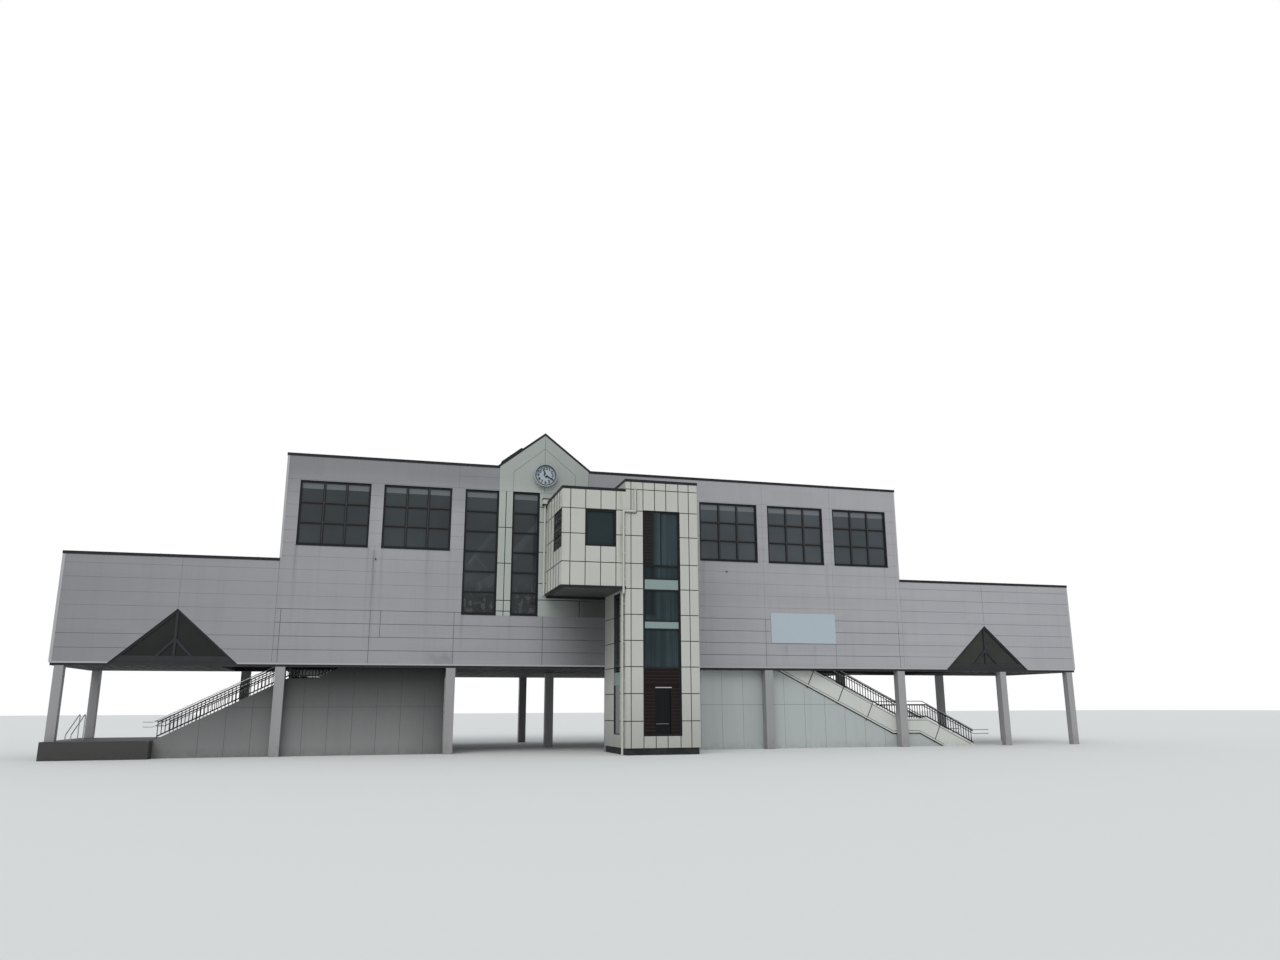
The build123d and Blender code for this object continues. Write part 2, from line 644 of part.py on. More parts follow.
def make_bay():
    wall_top = BAY_TOP - COPING
    inner_y = OUT + SKIN
    x0, x1, z0, z1 = BAY_WINDOW
    front = block(BAY_X0, TOWER_X0, OUT, inner_y, BAY_Z0, wall_top)
    front -= block(x0, x1, OUT, inner_y, z0, z1)
    y0, y1, side_z0, side_z1 = BAY_SIDE_WINDOW
    front -= block(BAY_X0, BAY_X0 + SKIN, y0, inner_y, side_z0, side_z1)
    side = block(BAY_X0, BAY_X0 + SKIN, inner_y + GAP, 0, BAY_Z0, wall_top)
    side -= block(BAY_X0, BAY_X0 + SKIN, y0, y1, side_z0, side_z1)
    save("bay_walls", front, side)
    save("bay_floor", block(BAY_X0 + SKIN, TOWER_X0, inner_y, 0, BAY_Z0, FLOOR))
    frame, glass = framed_window(x0, x1, z0, z1, OUT + 0.04, 1, 1)
    half = (y1 - y0) / 2
    side_frame, side_glass = framed_window(-half, half, side_z0, side_z1, SLIM_SET_BACK, 1, 3,
                                           frame=SLIM_FRAME, glass_at=SLIM_GLASS)
    middle = (y0 + y1) / 2
    save("bay_window_frames", frame, turned_to_side(side_frame, BAY_X0, middle, -1))
    save("bay_window_glass", glass, turned_to_side(side_glass, BAY_X0, middle, -1))


def make_tower():
    wall_top = TOWER_TOP - COPING
    inner_y = OUT + SKIN
    front = block(TOWER_X0, TOWER_X1, OUT, inner_y, PLINTH, wall_top)
    front -= block(STRIP_X0, STRIP_X1, OUT, inner_y, STRIP_Z0, STRIP_Z1)
    save("tower_front_wall", front)
    left = block(TOWER_X0, TOWER_X0 + SKIN, inner_y, 0, PLINTH, wall_top)
    y0, y1, side_z0, side_z1 = SIDE_STRIP
    left -= block(TOWER_X0, TOWER_X0 + SKIN, y0, y1, side_z0, side_z1)
    save("tower_side_walls", left,
         block(TOWER_X1 - SKIN, TOWER_X1, inner_y, 0, PLINTH, wall_top))
    inner_x0 = TOWER_X0 + SKIN
    inner_x1 = TOWER_X1 - SKIN
    rear = block(inner_x0, inner_x1, -SKIN, 0, PLINTH, SOFFIT - BEAM)
    door_x0, door_x1, door_h = TOWER_DOOR
    rear -= block(door_x0, door_x1, -SKIN, 0, PLINTH, door_h)
    save("tower_rear_wall", rear)
    save("tower_plinth", block(TOWER_X0 + LIP, TOWER_X1 - LIP, OUT + LIP, 0, 0, PLINTH))
    bay_roof = BAY_TOP - COPING - PARAPET
    tower_roof = wall_top - PARAPET
    save("bay_and_tower_roofs",
         block(BAY_X0 + SKIN, TOWER_X0, inner_y, 0, bay_roof - SKIN, bay_roof),
         block(inner_x0, inner_x1, inner_y, 0, tower_roof - SKIN, tower_roof))
    bay_z0 = BAY_TOP - COPING
    edge = SKIN + 2 * LIP
    save("bay_and_tower_copings",
         block(BAY_X0 - LIP, TOWER_X0 - LIP, OUT - LIP, inner_y + LIP, bay_z0, BAY_TOP),
         block(BAY_X0 - LIP, BAY_X0 - LIP + edge, inner_y + LIP + GAP, 0, bay_z0, BAY_TOP),
         block(TOWER_X0 - LIP, TOWER_X1 + LIP, OUT - LIP, inner_y + LIP, wall_top, TOWER_TOP),
         block(TOWER_X0 - LIP, TOWER_X0 - LIP + edge, inner_y + LIP + GAP, 0, wall_top, TOWER_TOP),
         block(TOWER_X1 + LIP - edge, TOWER_X1 + LIP, inner_y + LIP + GAP, 0, wall_top, TOWER_TOP))


def make_tower_glazing():
    y = OUT + STRIP_SET_BACK
    ring, glass = framed_window(STRIP_X0, STRIP_X1, STRIP_Z0, STRIP_Z1, y, 1, 1)
    x0 = STRIP_X0 + FRAME
    x1 = STRIP_X1 - FRAME
    z0 = STRIP_Z0 + FRAME
    z1 = STRIP_Z1 - FRAME
    half = BAR / 2
    bars_back = y + BAR_DEPTH
    for z in STRIP_BARS:
        ring += block(x0, x1, y, bars_back, z - half, z + half)
    louvre_z0 = STRIP_BARS[0]
    ring += block(LOUVRE_X1 - half, LOUVRE_X1 + half, y, bars_back, louvre_z0, z1)
    base_x0, base_x1, base_z0, base_z1 = BASE_WINDOW
    base_top = STRIP_BARS[-1]
    side_half = (SIDE_STRIP[1] - SIDE_STRIP[0]) / 2
    side_middle = (SIDE_STRIP[0] + SIDE_STRIP[1]) / 2
    side_ring, side_glass = framed_window(-side_half, side_half, SIDE_STRIP[2], SIDE_STRIP[3],
                                          SLIM_SET_BACK, 1, 1, frame=SLIM_FRAME, glass_at=SLIM_GLASS)
    save("tower_glazing_frames", ring, turned_to_side(side_ring, TOWER_X0, side_middle, -1))

    back = bars_back + GLASS
    boards = block(x0, LOUVRE_X1 - half, y, bars_back, louvre_z0 + half, z1)
    base = block(x0, x1, y, bars_back, z0, base_top - half)
    base -= block(base_x0, base_x1, y, bars_back, base_z0, base_z1)
    save("tower_brown_boards", boards, base)
    _, z_high, z_mid, z_low, z_pale, _ = STRIP_BARS
    save("tower_pale_panels",
         block(x0, x1, y + 0.01, bars_back, z_mid + half, z_high - half),
         block(x0, x1, y + 0.01, bars_back, z_pale + half, z_low - half),
         block(TOWER_X0, TOWER_X0 + SLIM_SET_BACK + SLIM_GLASS, SIDE_STRIP[0] + SLIM_FRAME,
               SIDE_STRIP[1] - SLIM_FRAME, *SIDE_BAND))
    save("tower_glass", block(x0, x1, bars_back, back, z0, z1),
         turned_to_side(side_glass, TOWER_X0, side_middle, -1))


def clock_disc(radius, y0, y1):
    """A round piece on the clock's axis."""
    size = extrude(Circle(radius * MM), amount=(y1 - y0) * MM)
    return Pos(at(RIDGE_X + CLOCK_SHIFT, y1, CLOCK_Z)) * (Rot(90, 0, 0) * size)


def hand(length, half, tail, turn, y0):
    """A tapered hand on the clock's axis, turned clockwise from twelve o'clock."""
    y1 = y0 + HAND_T
    tip = half * HAND_TAPER
    blade = plate([(-half, -tail), (half, -tail), (half, 0), (tip, length),
                   (-tip, length), (-half, 0)], y0, y1)
    blade = Pos(at(RIDGE_X + CLOCK_SHIFT, 0, CLOCK_Z) - at(0, 0, 0)) * blade
    axis = Axis(at(RIDGE_X + CLOCK_SHIFT, y0, CLOCK_Z), (0, 1, 0))
    whole = blade.rotate(axis, turn) + clock_disc(HUB_R, y0, y1)
    return whole - clock_disc(HUB_HOLE_R, y0 - HAND_T, y1 + HAND_T)


def make_clock():
    case = clock_disc(CLOCK_R, CLOCK_FRONT, 0) - clock_disc(DIAL_R, CLOCK_FRONT, RECESS_Y)
    save("clock_case", case)
    dial_front = RECESS_Y - DIAL_T
    hour_y = dial_front - HAND_GAP - HAND_T
    minute_y = hour_y - HAND_GAP - HAND_T
    cap_back = minute_y - HAND_GAP
    cap_front = cap_back - HAND_T
    dial = clock_disc(DIAL_R, dial_front, RECESS_Y)
    dial += clock_disc(PIN_R, cap_back, dial_front)
    dial += clock_disc(CAP_R, cap_front, cap_back)
    save("clock_dial", dial)
    save("clock_hour_hand", hand(HOUR_LENGTH, HOUR_HALF, HAND_TAIL, HOUR_TURN, hour_y))
    save("clock_minute_hand", hand(MINUTE_LENGTH, MINUTE_HALF, HAND_TAIL, MINUTE_TURN, minute_y))


def upright_pipe(x, y, z0, z1):
    """A round pipe that stands upright."""
    size = extrude(Circle(PIPE_R * MM), amount=(z1 - z0) * MM)
    return Pos(at(x, y, z0)) * size


def make_pipes():
    y = OUT - PIPE_OUT - PIPE_R
    low_x, high_x = TOWER_PIPE_X
    bend_z = TOWER_PIPE_BEND_Z
    step_z = TOWER_PIPE_STEP_Z
    low_y = TOWER_PIPE_LOW_Y
    level = Rot(0, 90, 0) * extrude(Circle(PIPE_R * MM), amount=(high_x - low_x) * MM)
    inward = Rot(-90, 0, 0) * extrude(Circle(PIPE_R * MM), amount=(low_y - y) * MM)
    tower = upright_pipe(high_x, y, bend_z, TOWER_PIPE_TOP) + Pos(at(low_x, y, bend_z)) * level
    tower += upright_pipe(low_x, y, step_z, bend_z) + Pos(at(low_x, y, step_z)) * inward
    tower += upright_pipe(low_x, low_y, 0, step_z)
    for place in ((high_x, y, bend_z), (low_x, y, bend_z), (low_x, y, step_z), (low_x, low_y, step_z)):
        tower += Pos(at(*place)) * Sphere(PIPE_R * MM)
    for z in PIPE_TIES:
        tower += block(low_x, TOWER_X0, low_y - TIE_H / 2, low_y + TIE_H / 2, z, z + TIE_H)
    wall_y = -PIPE_OUT - PIPE_R
    x0, x1, front_y, z0, z1 = HOPPER
    arm_x1, arm_z0 = HOPPER_ARM
    wall = upright_pipe(WALL_PIPE_X, wall_y, BAY_Z0, z0)
    wall += block(x0, x1, front_y, 0, z0, z1) + block(x1, arm_x1, front_y, 0, arm_z0, z1)
    save("rainwater_pipes", tower, wall)


def make_sign():
    x0, x1, z0, z1 = SIGN
    save("blank_sign_boards", block(x0, x1, -SIGN_T, 0, z0, z1))


make_wings()
make_hall_walls()
make_hall_ends()
make_hall_roof()
make_hall_copings()
make_windows()
make_triangle_windows()
make_supports()
make_platform()
make_floors()
make_stairs()
make_railings()
make_bay()
make_tower()
make_tower_glazing()
make_clock()
make_pipes()
make_sign()
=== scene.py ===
# %% [markdown]
# # A railway station building on columns
#
# The building stands on columns, and stairs climb from underneath to a hall. Grey cladding covers
# the long walls, white panels cover the gable, the bay and the lift tower. The solids come from the
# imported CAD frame. This lesson adds what a camera sees on them: panels with joints, glass, boards,
# seams, the clock's figures and the wear of rain.

# %% Load the frame
import math
import bpy
import bmesh
from mathutils import Matrix, Vector


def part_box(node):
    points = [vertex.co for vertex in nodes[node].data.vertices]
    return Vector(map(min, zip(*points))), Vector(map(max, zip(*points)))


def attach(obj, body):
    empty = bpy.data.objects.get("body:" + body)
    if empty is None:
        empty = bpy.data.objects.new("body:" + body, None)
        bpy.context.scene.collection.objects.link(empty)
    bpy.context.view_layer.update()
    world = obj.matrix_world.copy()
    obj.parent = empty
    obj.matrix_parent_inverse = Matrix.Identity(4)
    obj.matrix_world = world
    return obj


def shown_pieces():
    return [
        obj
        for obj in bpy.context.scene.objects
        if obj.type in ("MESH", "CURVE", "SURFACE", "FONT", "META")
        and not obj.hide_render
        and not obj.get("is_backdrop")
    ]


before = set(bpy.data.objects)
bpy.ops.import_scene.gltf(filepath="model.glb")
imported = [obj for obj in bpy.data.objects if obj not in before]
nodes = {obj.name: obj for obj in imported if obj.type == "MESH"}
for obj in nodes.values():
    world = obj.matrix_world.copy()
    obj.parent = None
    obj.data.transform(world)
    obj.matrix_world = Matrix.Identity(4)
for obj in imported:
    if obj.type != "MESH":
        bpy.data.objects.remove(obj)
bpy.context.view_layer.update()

print("CAD nodes:", len(nodes))

# %% [markdown]
# ## One way to place things
#
# The model is half the real size. It is easier to think in the real building's metres, with x along
# the front, y back from the front wall's face and z above the ground, so one function turns such a
# point into a point of the frame. The front wall's corner comes from the frame itself.

# %% Real metres to frame metres
SCALE = 0.5
LENGTH = 50.75
DEPTH = 14.4
WING_DEPTH = 6.4
SOFFIT = 4.0
COURSE = 0.6
left_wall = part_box("left_wing_front_wall")[0]


def at(x, y, z):
    return Vector((left_wall.x + x * SCALE, left_wall.y + y * SCALE, z * SCALE))


def real(point):
    """The way back: a point of the frame in the real building's metres."""
    return Vector(((point.x - left_wall.x) / SCALE, (point.y - left_wall.y) / SCALE, point.z / SCALE))


tower_low, tower_high = [real(corner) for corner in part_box("tower_front_wall")]
bay_low, bay_high = [real(corner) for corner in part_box("bay_walls")]
print("tower", [round(v, 2) for v in tower_low], [round(v, 2) for v in tower_high])

# %% [markdown]
# ## Camera
#
# The photograph was taken a little above eye height, with a wide lens tilted up. The numbers come
# from solving the view from the cladding's joints, whose real height is known.

# %% Camera at the photograph's place
FOCAL_PIXELS = 961.8
FRAME_PIXELS = 1280
SENSOR_WIDTH = 36
FAR_CLIP = 500
CAMERA_SPOT = (12.752, -45.985, 2.061)
PITCH = math.radians(13.28)
YAW = math.radians(15.69)
ROLL = math.radians(-0.208)


def put(name, data):
    """A new object in the scene."""
    thing = bpy.data.objects.new(name, data)
    bpy.context.scene.collection.objects.link(thing)
    return thing


camera_data = bpy.data.cameras.new("photo_camera")
camera_data.sensor_width = SENSOR_WIDTH
camera_data.lens = FOCAL_PIXELS / FRAME_PIXELS * SENSOR_WIDTH
camera_data.clip_end = FAR_CLIP
camera = put("photo_camera", camera_data)
forward = Vector((math.sin(YAW) * math.cos(PITCH), math.cos(YAW) * math.cos(PITCH), math.sin(PITCH)))
level = Vector((math.cos(YAW), -math.sin(YAW), 0))
upward = level.cross(forward)
right = math.cos(ROLL) * level + math.sin(ROLL) * upward
top = math.cos(ROLL) * upward - math.sin(ROLL) * level
turn = Matrix((right, top, -forward)).transposed().to_4x4()
camera.matrix_world = Matrix.Translation(at(*CAMERA_SPOT)) @ turn
bpy.context.scene.camera = camera
print("camera at", [round(v, 2) for v in camera.location])

# %% [markdown]
# ## Floor, sky and light
#
# The day is overcast, so light comes softly from the whole sky. A pale world does most of the work
# and one broad, weak sun gives the faces a direction. The world turns plain white for the camera,
# also through glass, which keeps the background clean without adding light.

# %% Stage
SKY_COLOUR = (0.93, 0.97, 1.0, 1)
SKY_LIGHT = 0.72
SUN_LIGHT = 1.1
SUN_WIDTH = math.radians(40)
SUN_TURN = (math.radians(48), 0, math.radians(-28))
FLOOR_COLOUR = (0.74, 0.74, 0.73, 1)
FLOOR_REACH = 160


def add_node(tree, kind, **settings):
    node = tree.nodes.new(kind)
    for name, value in settings.items():
        setattr(node, name, value)
    return node


def wire(tree, *links):
    """Link nodes. Each link is a node, its output, the next node and its input."""
    for first, output, second, socket in links:
        tree.links.new(first.outputs[output], second.inputs[socket])


world = bpy.data.worlds.new("overcast")
bpy.context.scene.world = world
world.use_nodes = True
sky = world.node_tree
sky.nodes.clear()
paths = add_node(sky, "ShaderNodeLightPath")
seen = add_node(sky, "ShaderNodeMath", operation="MAXIMUM")
light_sky = add_node(sky, "ShaderNodeBackground")
light_sky.inputs["Color"].default_value = SKY_COLOUR
light_sky.inputs["Strength"].default_value = SKY_LIGHT
plain_sky = add_node(sky, "ShaderNodeBackground")
plain_sky.inputs["Color"].default_value = (1, 1, 1, 1)
sky_mix = add_node(sky, "ShaderNodeMixShader")
sky_out = add_node(sky, "ShaderNodeOutputWorld")
wire(sky, (paths, "Is Camera Ray", seen, 0), (paths, "Is Transmission Ray", seen, 1),
     (seen, 0, sky_mix, "Fac"), (light_sky, 0, sky_mix, 1), (plain_sky, 0, sky_mix, 2),
     (sky_mix, 0, sky_out, "Surface"))

sun_data = bpy.data.lights.new("soft_sun", "SUN")
sun_data.energy = SUN_LIGHT
sun_data.angle = SUN_WIDTH
put("soft_sun", sun_data).rotation_euler = SUN_TURN

floor_mesh = bpy.data.meshes.new("floor")
corners = [(x * FLOOR_REACH, y * FLOOR_REACH, 0) for x, y in ((-1, -1), (1, -1), (1, 1), (-1, 1))]
floor_mesh.from_pydata(corners, [], [(0, 1, 2, 3)])
floor = put("floor", floor_mesh)
floor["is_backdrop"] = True
floor_material = bpy.data.materials.new("pale_floor")
floor_material.use_nodes = True
floor_shader = floor_material.node_tree.nodes["Principled BSDF"]
floor_shader.inputs["Base Color"].default_value = FLOOR_COLOUR
floor_shader.inputs["Roughness"].default_value = 0.9
floor_mesh.materials.append(floor_material)
bpy.context.scene.view_settings.view_transform = "Standard"
print("stage ready")

# %% [markdown]
# ## Finishes
#
# Every finish starts from one plain colour and gets three kinds of life: a slow variation from
# panel to panel, marks that run down with the rain, and a fine grain in the bump. A small builder
# keeps the node chains short. A mask is a number from 0 to 1 over the building, and masks are
# multiplied where several are given. All patterns use Object coordinates, so they stay on the
# building from every side and at every pose.

# %% A small builder for finishes


class Finish:
    """One material: a Principled shader with a chain of colour changes in front of it."""

    def __init__(self, name, colour, roughness=0.5, metallic=0.0, specular=0.5):
        self.material = bpy.data.materials.new(name)
        self.material.use_nodes = True
        self.tree = self.material.node_tree
        self.shader = self.tree.nodes["Principled BSDF"]
        self.set(Roughness=roughness, Metallic=metallic, Specular_IOR_Level=specular)
        self.colour = colour
        self.normal = None
        self.place = add_node(self.tree, "ShaderNodeTexCoord").outputs["Object"]
        axes = add_node(self.tree, "ShaderNodeSeparateXYZ")
        self.feed(axes.inputs[0], self.place)
        self.x, self.y, self.z = axes.outputs

    def feed(self, socket, value):
        """Give a socket a number, a colour or the output of another node."""
        if isinstance(value, (int, float)):
            socket.default_value = value
        elif isinstance(value, tuple):
            socket.default_value = (*value, 1)
        else:
            self.tree.links.new(value, socket)

    def set(self, **values):
        """Feed the shader's own inputs."""
        for name, value in values.items():
            self.feed(self.shader.inputs[name.replace("_", " ")], value)

    def node(self, kind, output, values, **settings):
        """One output of a new node, whose inputs are fed by name."""
        node = add_node(self.tree, kind, **settings)
        for name, value in values.items():
            self.feed(node.inputs[name], value)
        return node.outputs[output]

    def noise(self, size, detail=3, rough=0.6, scale=(1, 1, 1)):
        """Noise with spots of about this size. A scale below 1 stretches them along an axis."""
        mapping = add_node(self.tree, "ShaderNodeMapping")
        mapping.inputs["Scale"].default_value = scale
        self.feed(mapping.inputs["Vector"], self.place)
        return self.node("ShaderNodeTexNoise", "Fac", {"Vector": mapping.outputs[0], "Scale": 1 / size,
                                                       "Detail": detail, "Roughness": rough})

    def math(self, operation, *values):
        node = add_node(self.tree, "ShaderNodeMath", operation=operation)
        for socket, value in zip(node.inputs, values):
            self.feed(socket, value)
        return node.outputs[0]

    def times(self, *values):
        """The product of several masks or numbers."""
        product = values[0]
        for value in values[1:]:
            product = self.math("MULTIPLY", product, value)
        return product

    def between(self, value, low, high):
        """0 at low, 1 at high and a straight slope between. It falls where low is above high."""
        return self.node("ShaderNodeMapRange", 0, {"Value": value, "From Min": low, "From Max": high})

    def along(self, x0, x1):
        """0 at the real x0 and 1 at the real x1, measured along the front."""
        return self.between(self.x, at(x0, 0, 0).x, at(x1, 0, 0).x)

    def depth(self, y0, y1):
        """0 at the real depth y0 and 1 at the real depth y1, measured back from the front."""
        return self.between(self.y, at(0, y0, 0).y, at(0, y1, 0).y)

    def height(self, z0, z1):
        """0 at the real height z0 and 1 at the real height z1."""
        return self.between(self.z, z0 * SCALE, z1 * SCALE)

    def mixed(self, blend, factor, second):
        """Mix something with the colour so far."""
        self.colour = self.node("ShaderNodeMix", "Result", {"Factor": factor, "A": self.colour, "B": second},
                                data_type="RGBA", blend_type=blend)

    def tint(self, colour, *masks):
        """Mix another colour over what is there, where the masks are."""
        self.mixed("MIX", self.times(*masks), colour)

    def shade(self, change, *masks):
        """Make the colour lighter or darker where the masks are. -0.2 is a fifth darker."""
        self.mixed("MULTIPLY", 1, self.math("MULTIPLY_ADD", self.times(*masks), change, 1))

    def bump(self, height, distance, strength):
        values = {"Distance": distance, "Strength": strength, "Height": height}
        if self.normal is not None:
            values["Normal"] = self.normal
        self.normal = self.node("ShaderNodeBump", 0, values)

    def rough_range(self, mask, low, high):
        self.set(Roughness=self.node("ShaderNodeMapRange", 0, {"Value": mask, "To Min": low, "To Max": high}))

    def done(self, *grain):
        """The material, with a last fine grain in the bump: its size, detail, depth and strength."""
        if grain:
            self.bump(self.noise(*grain[:2]), *grain[2:])
        self.set(Base_Color=self.colour)
        if self.normal is not None:
            self.set(Normal=self.normal)
        return self.material


def darker(colour, share):
    return tuple(c * share for c in colour)


print("finish builder ready")

# %% [markdown]
# ### Cladding and white panels
#
# The grey walls are coated metal boards, 0.6 m high. Boards from one batch differ a little, so each
# board gets its own shade from a White Noise of its row and column. Rain leaves soft vertical
# streaks, darker under the window corners. The white panels are smoother and keep cleaner.

# %% Grey cladding
GREY = (0.315, 0.312, 0.327)
WHITE = (0.495, 0.50, 0.455)
# The gable's white is greyer than WHITE as painted shade.
SHADED_GABLE_WHITE = (0.405, 0.435, 0.405)
BOARD_LENGTH = 3.75
STREAK_COLOUR = (0.15, 0.148, 0.15)
PIPE_STAIN = (0.26, 0.24, 0.16)
# x, top, length, width and strength of the run below each window corner
STREAKS = ((9.38, 9.35, 4.6, 0.12, 0.75), (10.4, 9.35, 2.4, 0.1, 0.3), (12.55, 9.35, 5.0, 0.1, 0.5),
           (12.82, 9.2, 5.0, 0.16, 0.8), (13.18, 9.35, 4.4, 0.1, 0.5), (15.25, 9.35, 3.4, 0.16, 0.55),
           (16.25, 9.35, 3.6, 0.12, 0.4), (16.95, 6.3, 2.2, 0.12, 0.6), (19.2, 6.3, 2.2, 0.1, 0.4),
           (29.0, 9.35, 3.4, 0.14, 0.5), (35.9, 9.35, 3.8, 0.14, 0.5), (39.3, 9.35, 3.0, 0.12, 0.4),
           (33.4, 5.1, 1.1, 0.12, 0.6), (35.0, 5.1, 1.1, 0.12, 0.5))


def board_shade(finish, length, height):
    """A number by chance for each board, from its column and row."""
    index = add_node(finish.tree, "ShaderNodeCombineXYZ")
    for socket, axis, size in zip(index.inputs, (finish.x, finish.y, finish.z), (length, length, height)):
        finish.feed(socket, finish.math("FLOOR", finish.times(axis, 1 / (size * SCALE))))
    return finish.node("ShaderNodeTexWhiteNoise", "Value", {"Vector": index.outputs[0]})


def rain_streaks(finish, amount, colour):
    """Soft vertical marks all over a wall."""
    wide = finish.noise(0.35, 3, 0.6, (1, 1, 0.06))
    fine = finish.noise(0.07, 4, 0.65, (1, 1, 0.04))
    both = finish.math("MULTIPLY_ADD", wide, 0.6, finish.times(fine, 0.4))
    finish.tint(colour, finish.between(both, 0.47, 0.68), amount)


def corner_streak(finish, x, top_z, length, width, strength):
    """One darker run below the corner of a window."""
    wander = finish.math("MULTIPLY_ADD", finish.noise(0.5, 2, 0.5, (0, 0, 1)), 0.04, finish.x)
    offset = finish.math("ABSOLUTE", finish.math("SUBTRACT", wander, at(x, 0, 0).x + 0.02))
    below = finish.math("LESS_THAN", finish.z, top_z * SCALE)
    broken = finish.between(finish.noise(0.05, 4, 0.7, (1, 1, 0.08)), 0.2, 0.7)
    finish.tint(STREAK_COLOUR, finish.between(offset, width * SCALE, 0), below,
                finish.height(top_z - length, top_z), broken, strength)


def grey_cladding():
    finish = Finish("grey_cladding", GREY, roughness=0.42)
    along, height = finish.along, finish.height
    at_front = finish.depth(0.5, 0.4)
    finish.tint(darker(GREY, 0.86), board_shade(finish, BOARD_LENGTH, COURSE), 0.35)
    finish.tint(darker(GREY, 1.18), finish.noise(2.5, 2), 0.16)
    rain_streaks(finish, 0.20, darker(GREY, 0.72))
    for streak in STREAKS:
        corner_streak(finish, *streak)
    # Painted light: the cladding is darker towards the left and lighter towards the right, where the sky is
    # brighter.
    finish.shade(-0.2, along(10, 0))
    finish.shade(-0.04, along(13, 9))
    finish.shade(0.2, along(23.5, 41))
    finish.shade(-0.3, height(11.2, 13.0), along(27, 17))
    finish.shade(0.07, along(12.5, 12.9), along(17.5, 16.5), height(8.0, 9.4), height(12, 11))
    # Painted shadow under the bay: the front wall darkens towards the tower below 6.4 m.
    finish.shade(-0.5, along(20.0, 23.0), along(24, 23.9), height(6.5, 6.4), at_front)
    finish.shade(-0.2, along(15.2, 15.8), along(16.7, 16.5), height(4.75, 4.4), at_front,
                 finish.between(finish.noise(0.2, 4), 0.3, 0.6))
    finish.rough_range(finish.noise(0.6, 3), 0.36, 0.52)
    finish.bump(finish.noise(0.012, 2), 0.0006, 0.35)
    finish.bump(finish.noise(0.9, 1, 0.4, (1, 1, 1.6)), 0.006, 0.25)
    return finish.done()


def white_panels(name, colour):
    finish = Finish(name, colour, roughness=0.3)
    finish.tint(darker(colour, 0.9), board_shade(finish, 0.71, 1.17), 0.16)
    rain_streaks(finish, 0.16, darker(colour, 0.72))
    finish.tint((0.40, 0.40, 0.34), finish.between(finish.noise(1.1, 4), 0.5, 0.8), 0.12)
    return finish


def coat(finish):
    finish.rough_range(finish.noise(0.5, 3), 0.24, 0.4)
    return finish.done(0.01, 2, 0.0004, 0.3)


def bay_panels():
    """The bay and the tower: darker near the ground, painted light on the bay's side, stained along the rain
    pipe.
    """
    finish = white_panels("white_panels", WHITE)
    finish.shade(-0.2, finish.height(3.4, 0.3))
    # Painted light: the bay's left side face is lighter.
    finish.shade(0.5, finish.along(20.93, 20.92))
    broken = finish.between(finish.noise(0.12, 4, 0.7, (1, 1, 0.12)), 0.35, 0.6)
    for x, low, high, strength in ((23.66, 7.6, 12.1, 0.5), (24.3, 10.9, 12.3, 0.4), (20.93, 8.0, 11.9, 0.3)):
        finish.tint(PIPE_STAIN, finish.along(x - 0.16, x), finish.along(x + 0.16, x),
                    finish.height(low, low + 1.2), finish.height(high, high - 0.4), broken, strength)
    return coat(finish)


def gable_panels_finish():
    """Painted shade: the gable lies back under the copings and the bay, so it is greyer, darker at the top
    and dark under the bay.
    """
    finish = white_panels("gable_panels", SHADED_GABLE_WHITE)
    finish.shade(-0.12, finish.height(12.2, 13.0))
    finish.shade(-0.8, finish.along(20.3, 22.8), finish.height(7.4, 7.2), finish.depth(0.5, 0.4))
    return coat(finish)


# Dark joints between panels. The same dark also paints shadow: strips beside the rain pipe and a line under
# the stair band.
def sealant():
    finish = Finish("joint_sealant", (0.025, 0.026, 0.027), roughness=0.7)
    finish.tint((0.06, 0.06, 0.055), finish.noise(0.08, 4), 0.3)
    return finish.done(0.006, 2, 0.0005, 0.4)


CLADDING = grey_cladding()
PANELS = bay_panels()
GABLE_PANELS = gable_panels_finish()
SEALANT_AND_SHADOW = sealant()
print("wall finishes ready")

# %% [markdown]
# ### Metal trim and glass
#
# Copings, window frames and railings share dark coated metal, but not the same wear. Glass looks
# dark because the rooms behind are dim. Its colour is nearly black, and the white sky mirrors in it. A
# paler band at the top of the hall's panes is a blind seen through the glass.
# Most lighter and darker patches on the panes are painted reflections.

# %% Trim and frames
DUST = (0.16, 0.15, 0.14)
BLIND = (12.0, 12.3)
BLIND_COLOUR = (0.165, 0.18, 0.19)
# Line from x0, z0 to x1, z1, reach below it, and change of brightness, for the tall windows
REFLECTIONS = ((19.2, 9.4, 20.6, 11.15, 0.75, 0.55), (17.2, 8.9, 18.6, 10.75, 0.5, 0.4),
               (17.46, 9.15, 18.08, 8.5, 0.07, 0.6), (17.06, 8.62, 17.46, 9.15, 0.07, 0.6),
               (17.55, 7.82, 18.6, 8.45, 1.0, 0.5))


def coated_metal(name, colour, roughness, dust=0.06):
    finish = Finish(name, colour, roughness=roughness, specular=0.25)
    finish.tint(DUST, finish.between(finish.noise(0.25, 4), 0.45, 0.8), dust)
    finish.rough_range(finish.noise(0.15, 3), roughness * 0.8, min(1.0, roughness * 1.35))
    return finish.done(0.008, 2, 0.0003, 0.4)


def mirrored_edge(finish, where, x0, z0, x1, z1, reach, change):
    """A lighter patch below a slanted line, as a pane shows it of what it mirrors."""
    slope = (z1 - z0) / (x1 - x0)
    lean = finish.math("MULTIPLY_ADD", finish.x, -slope, finish.z)
    edge = at(0, 0, z0).z - slope * at(x0, 0, 0).x
    finish.shade(change, finish.between(lean, edge - reach * SCALE, edge - reach * SCALE * 0.3),
                 finish.between(lean, edge + 0.01, edge), where,
                 finish.along(x0, x0 + 0.03), finish.along(x1 + 0.03, x1))


